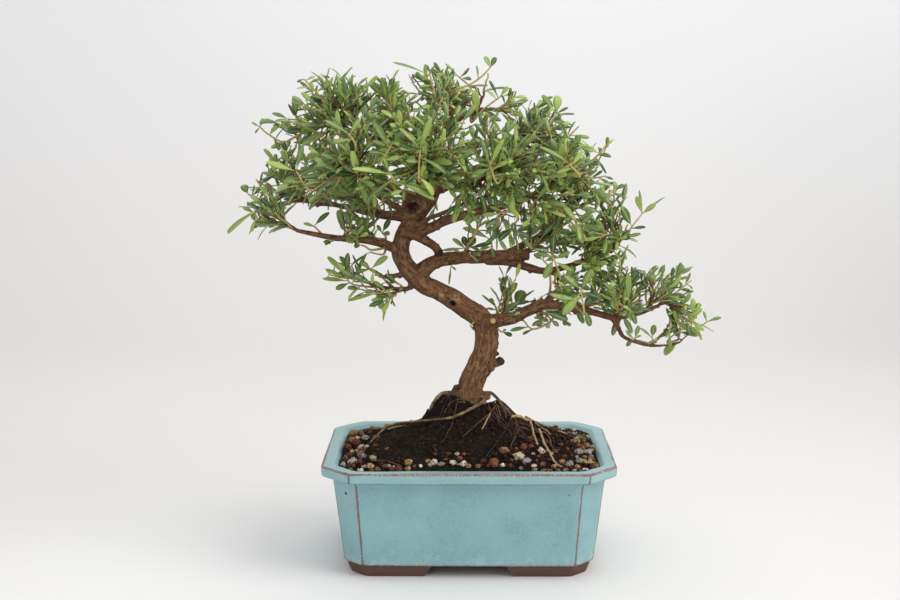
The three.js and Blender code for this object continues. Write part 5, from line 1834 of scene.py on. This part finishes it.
        ((340, 210), (343, 230), 3.4), ((341, 210), (350, 222), 2.4)]),
    (1, -18, [(262, 222), (254, 213)], [
        ((254, 213), (227, 231), 2), ((256, 216), (251, 232), 2.2), ((255, 213), (243, 207), 2.4)]),
    (1, -4, [(277, 205), (268, 202), (259, 199), (252, 196), (248, 194)], [
        ((249, 194), (242, 185), 5.2), ((252, 194), (255, 185), 1.2), ((253, 195), (263, 187), 2),
        ((259, 198), (265, 192), 1.6), ((262, 200), (247, 205), 2)]),
    (1, -16, [(276, 212), (266, 210), (254, 211)], [
        ((254, 212), (227, 230), 2.2), ((258, 213), (252, 219), 3), ((266, 230), (250, 232), 1.6)]),
]
LEAF_TURN = np.array([0.15, -0.8, 0.6])
SHORTEST_SPRIG = 3
SIDE_SHOOTS = 4
BARE_TWIGS = 5
# Shoots that leave a longer one: the highest share of it that they leave from, their length as a factor and
# its range, and how far their knee and their end lie along it, outwards and up
SIDE_SHOOT = {
    "first_key": 40, "high": 0.92, "length": (16, 0.75, 1.2), "knee": (0.25, 0.4), "end": (0.72, 0.62, 0.12),
    "leafy_from": 0.3, "nodes": SIDE_NODES, "radius": 0.6,
}
BARE_TWIG = {
    "first_key": 80, "high": 0.85, "length": (1, 7, 17), "knee": (0.5, 0.2), "end": (0.7, 0.6, 0.1),
    "leafy_from": 0.6, "nodes": 1, "radius": 0.42,
}
STEM_AGE = 1.3
SIDE_AGE = 0.6
BARE_AGE = 1.5
TWIG_GROUPS = 8


def add_sprig(twigs, leaves, depth, stem, fan, random):
    """Adds a sprig that grows out of the nearest wood and passes the places that the photo shows"""
    route = [seen_at_depth(across, down, depth) for across, down in stem]
    place, along, radius = departure(route[0], SHORTEST_SPRIG)
    steps = max(3, round(np.linalg.norm(route[0] - place) / 6))
    rise = stem_curve(place, along, route[0]).point(np.linspace(0, 1, steps))
    rough = [*rise, *route[1:]]
    path, radii = smooth_path(rough, tapered(min(0.9, 0.7 * radius), STEM_TIP_RADIUS, rough), PATH_STEP)
    ages = np.repeat(np.linspace(1, 0.1, len(path)), STEM_SIDES)
    twigs.add(*tube(path, radii, STEM_SIDES), age=ages)
    for foot, tip, width in fan:
        root = path[distances(path, seen_at_depth(*foot, depth)).argmin()]
        reach = seen_at_depth(*tip, depth) - root
        reach = reach + np.array([0, random.uniform(-0.35, 0.1) * np.linalg.norm(reach), 0])
        length = np.linalg.norm(reach)
        heading = reach / length
        top = unit(LEAF_TURN - heading * LEAF_TURN.dot(heading))
        add_leaf(leaves, root, heading, top, length, width, random)


def grow_spray(number, twigs, leaves, random):
    """Adds the stems, side shoots, twigs and leaves of one spray"""
    more = [tip for owner, tip in MORE_TIPS if owner == number + 1]
    for shoot in spray_shoots(number, [*SPRAYS[number], *more]):
        add_stem(twigs, shoot, random, STEM_AGE)
        add_leaves(leaves, shoot, STEM_LEAF, random)
        sides = side_shoots(shoot, SPARSE.get(number + 1, SIDE_SHOOTS))
        for parts, age, kind in ((sides, SIDE_AGE, SIDE_LEAF), (bare_twigs(shoot), BARE_AGE, BUD_LEAF)):
            for part in parts:
                if not in_open_view(part.curve.end):
                    add_stem(twigs, part, random, age)
                    add_leaves(leaves, part, kind, random)
    for owner, depth, stem, fan in SEEN_SPRIGS:
        if owner == number + 1:
            add_sprig(twigs, leaves, depth, stem, fan, random)


def make_foliage(leaf_material, twig_material):
    twigs = [Shape() for _ in range(TWIG_GROUPS)]
    nodes = [[] for _ in range(TWIG_GROUPS)]
    for number in range(len(SPRAYS)):
        group = number * TWIG_GROUPS // len(SPRAYS)
        spray = f"spray_{number + 1:02d}"
        nodes[group].append(spray)
        leaves = Shape()
        grow_spray(number, twigs[group], leaves, np.random.default_rng(SPRAY_SEED + number))
        leaves.show(f"leaves_{number + 1:02d}", leaf_material, "leaf", [spray])
    for index, shape in enumerate(twigs):
        shape.show(f"twigs_{index + 1}", twig_material, "twig", nodes[index])


# Small pieces

WIRE_PIXELS = [(511.8, 415.8), (508, 425.7), (501.6, 437.1), (494, 447.3), (487, 456.3)]
WIRE_RADIUS = 0.42
WIRE_ENDS_DOWN = 4
SEEDLING_PLACE = (62, -1)
SEEDLING_HEIGHT = 1.8
SEEDLING_RADII = [0.55, 0.5, 0.42]
# Leaves of the seedling: heading, length, width
SEEDLING_LEAVES = [
    ((-0.62, -0.2, 0.75), 4.4, 1.4), ((-0.3, 0.5, 0.8), 2.2, 0.9),
    ((0.62, -0.2, 0.75), 4.4, 1.4), ((0.3, -0.5, 0.8), 2.2, 0.9),
]


def make_wire(material):
    seen = lie_on_soil(WIRE_PIXELS, 2 * WIRE_RADIUS)
    (ax, ay, az), (bx, by, bz) = seen[0], seen[-1]
    points = [(ax + 1, ay + 1, az - WIRE_ENDS_DOWN), *seen, (bx - 0.6, by - 1, bz - WIRE_ENDS_DOWN)]
    path, radii = smooth_path(points, [WIRE_RADIUS] * len(points), 0.8)
    shape = Shape()
    shape.add(*tube(path, radii, 10))
    shape.show("tie_wire_round", material, "wire", ["tie_wire"])


def make_seedling(material):
    random = np.random.default_rng(SEEDLING_SEED)
    x, y = SEEDLING_PLACE
    ground = float(soil_height(x, y))
    shape = Shape()
    crown = np.array([x + 0.4, y, ground + SEEDLING_HEIGHT])
    stalk = [(x, y, ground - 3), (x - 0.2, y, ground + 1), tuple(crown)]
    path, radii = smooth_path(stalk, SEEDLING_RADII, 0.8)
    shape.add(*tube(path, radii, 8), across=0.5, under=0.0, stalk=0.0, tone=0.6)
    for heading, length, width in SEEDLING_LEAVES:
        along = unit(np.array(heading))
        add_leaf(shape, crown, along, unit(UP - along * along[2]), length, width, random)
    shape.show("seedling_leaves", material, "seedling", ["seedling"])


# Stage, light and camera

# The floor meets the wall in a round cove
COVE_START = 600
COVE_RADIUS = 500
COVE_STEPS = 12
WALL_HEIGHT = 3000
FLOOR_FRONT = (-2500, -1000)
FLOOR_COLUMNS = [-4000, -1500, *range(-800, 801, 50), 1500, 4000]
WORLD_COLOUR = (0.96, 0.98, 1, 1)
WORLD_STRENGTH = 0.55
# Lamps: name, place, width, power and colour
LAMPS = [
    ("window", (1100, -520, 950), 1000, 12.5, (1, 0.99, 0.97)),
    ("fill", (-500, -1100, 700), 1200, 2.7, (0.96, 0.98, 1)),
    ("top", (0, 100, 1300), 900, 4.4, (1, 1, 1)),
]
LAMPS_AIM = (0, 0, 130)
SENSOR_WIDTH = 36
NEAREST_VIEW = 0.01


def make_stage():
    finish = Finish("pale_backdrop", roughness=0.9, specular=0.1)
    finish.tint(
        # Paler round the pot: a painted pool of light that lifts the pot's cast shadow on the floor
        finish.blend("E9E6E3", "FFFFFF", finish.value("near")),
        # Darker to the right: painted shade that evens out the floor under the window lamp on that side
        ("D6D4D2", finish.value("aside")),
        ("FBFBFD", finish.value("wall")),
    )
    profile = [(y, 0) for y in (*FLOOR_FRONT, *range(-COVE_START, COVE_START + 1, 50))]
    for step in range(1, COVE_STEPS + 1):
        angle = math.pi / 2 * step / COVE_STEPS
        profile.append((COVE_START + COVE_RADIUS * math.sin(angle), COVE_RADIUS * (1 - math.cos(angle))))
    profile.append((COVE_START + COVE_RADIUS, WALL_HEIGHT))
    points = np.array([(x, y, z) for y, z in profile for x in FLOOR_COLUMNS], float)
    wide = len(FLOOR_COLUMNS)
    faces = [[i * wide + j, i * wide + j + 1, (i + 1) * wide + j + 1, (i + 1) * wide + j]
             for i in range(len(profile) - 1) for j in range(wide - 1)]
    # Painted light round the pot, lifting its shadow on the floor
    near = 0.42 * np.exp(-((points[:, 0] + 110) / 230) ** 2 - ((points[:, 1] + 60) / 220) ** 2)
    # Painted shade on the floor to the right, under the window lamp
    aside = smooth_step(60, 600, points[:, 0])
    shape = Shape()
    shape.add(points, faces, wall=np.clip(points[:, 2] / COVE_RADIUS, 0, 1), near=near, aside=aside)
    mesh = shape.mesh("backdrop")
    mesh.materials.append(finish.material)
    mesh.shade_smooth()
    linked("backdrop", mesh)


def make_light():
    scene = bpy.context.scene
    scene.view_settings.view_transform = "Standard"
    scene.world = bpy.data.worlds.new("studio")
    scene.world.use_nodes = True
    background = scene.world.node_tree.nodes["Background"]
    background.inputs["Color"].default_value = WORLD_COLOUR
    background.inputs["Strength"].default_value = WORLD_STRENGTH
    for name, place, size, power, tint in LAMPS:
        data = bpy.data.lights.new(name, "AREA")
        data.size = size * MM
        data.energy = power
        data.color = tint
        lamp = linked(name, data)
        lamp.location = metres(place)
        aim = Vector(metres(LAMPS_AIM)) - lamp.location
        lamp.rotation_euler = aim.to_track_quat("-Z", "Y").to_euler()


def make_camera():
    data = bpy.data.cameras.new("camera")
    data.lens = FOCAL_LENGTH
    data.sensor_width = SENSOR_WIDTH
    data.clip_start = NEAREST_VIEW
    camera = linked("camera", data)
    camera.location = metres(CAMERA_PLACE)
    camera.rotation_euler = (math.pi / 2 - CAMERA_PITCH, 0, CAMERA_YAW)
    bpy.context.scene.camera = camera


def dress_netting():
    """The drain meshes keep their own shape and take a black plastic"""
    material = plain_finish("black_netting", "121212", "26262A", 2, 0.55)
    for name in ("drain_mesh_left", "drain_mesh_right"):
        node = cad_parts[name]
        node.data.materials.clear()
        node.data.materials.append(material)


make_camera()
make_stage()
make_light()
make_pot(glaze_finish())
make_soil(soil_finish())
make_stones()
make_crumbs(stone_finish("bark_crumb", "1F1511", "5A3A28", "0E0A08"))
make_wood(bark_finish())
make_fine_roots(root_finish())
make_foliage(leaf_finish(), twig_finish())
make_wire(plain_finish("wire_black", "15181C", "2A3038", 3, 0.4, 0.4))
make_seedling(plain_finish("seedling_green", "6F9C3C", "A0C462", 3, 0.45))
dress_netting()
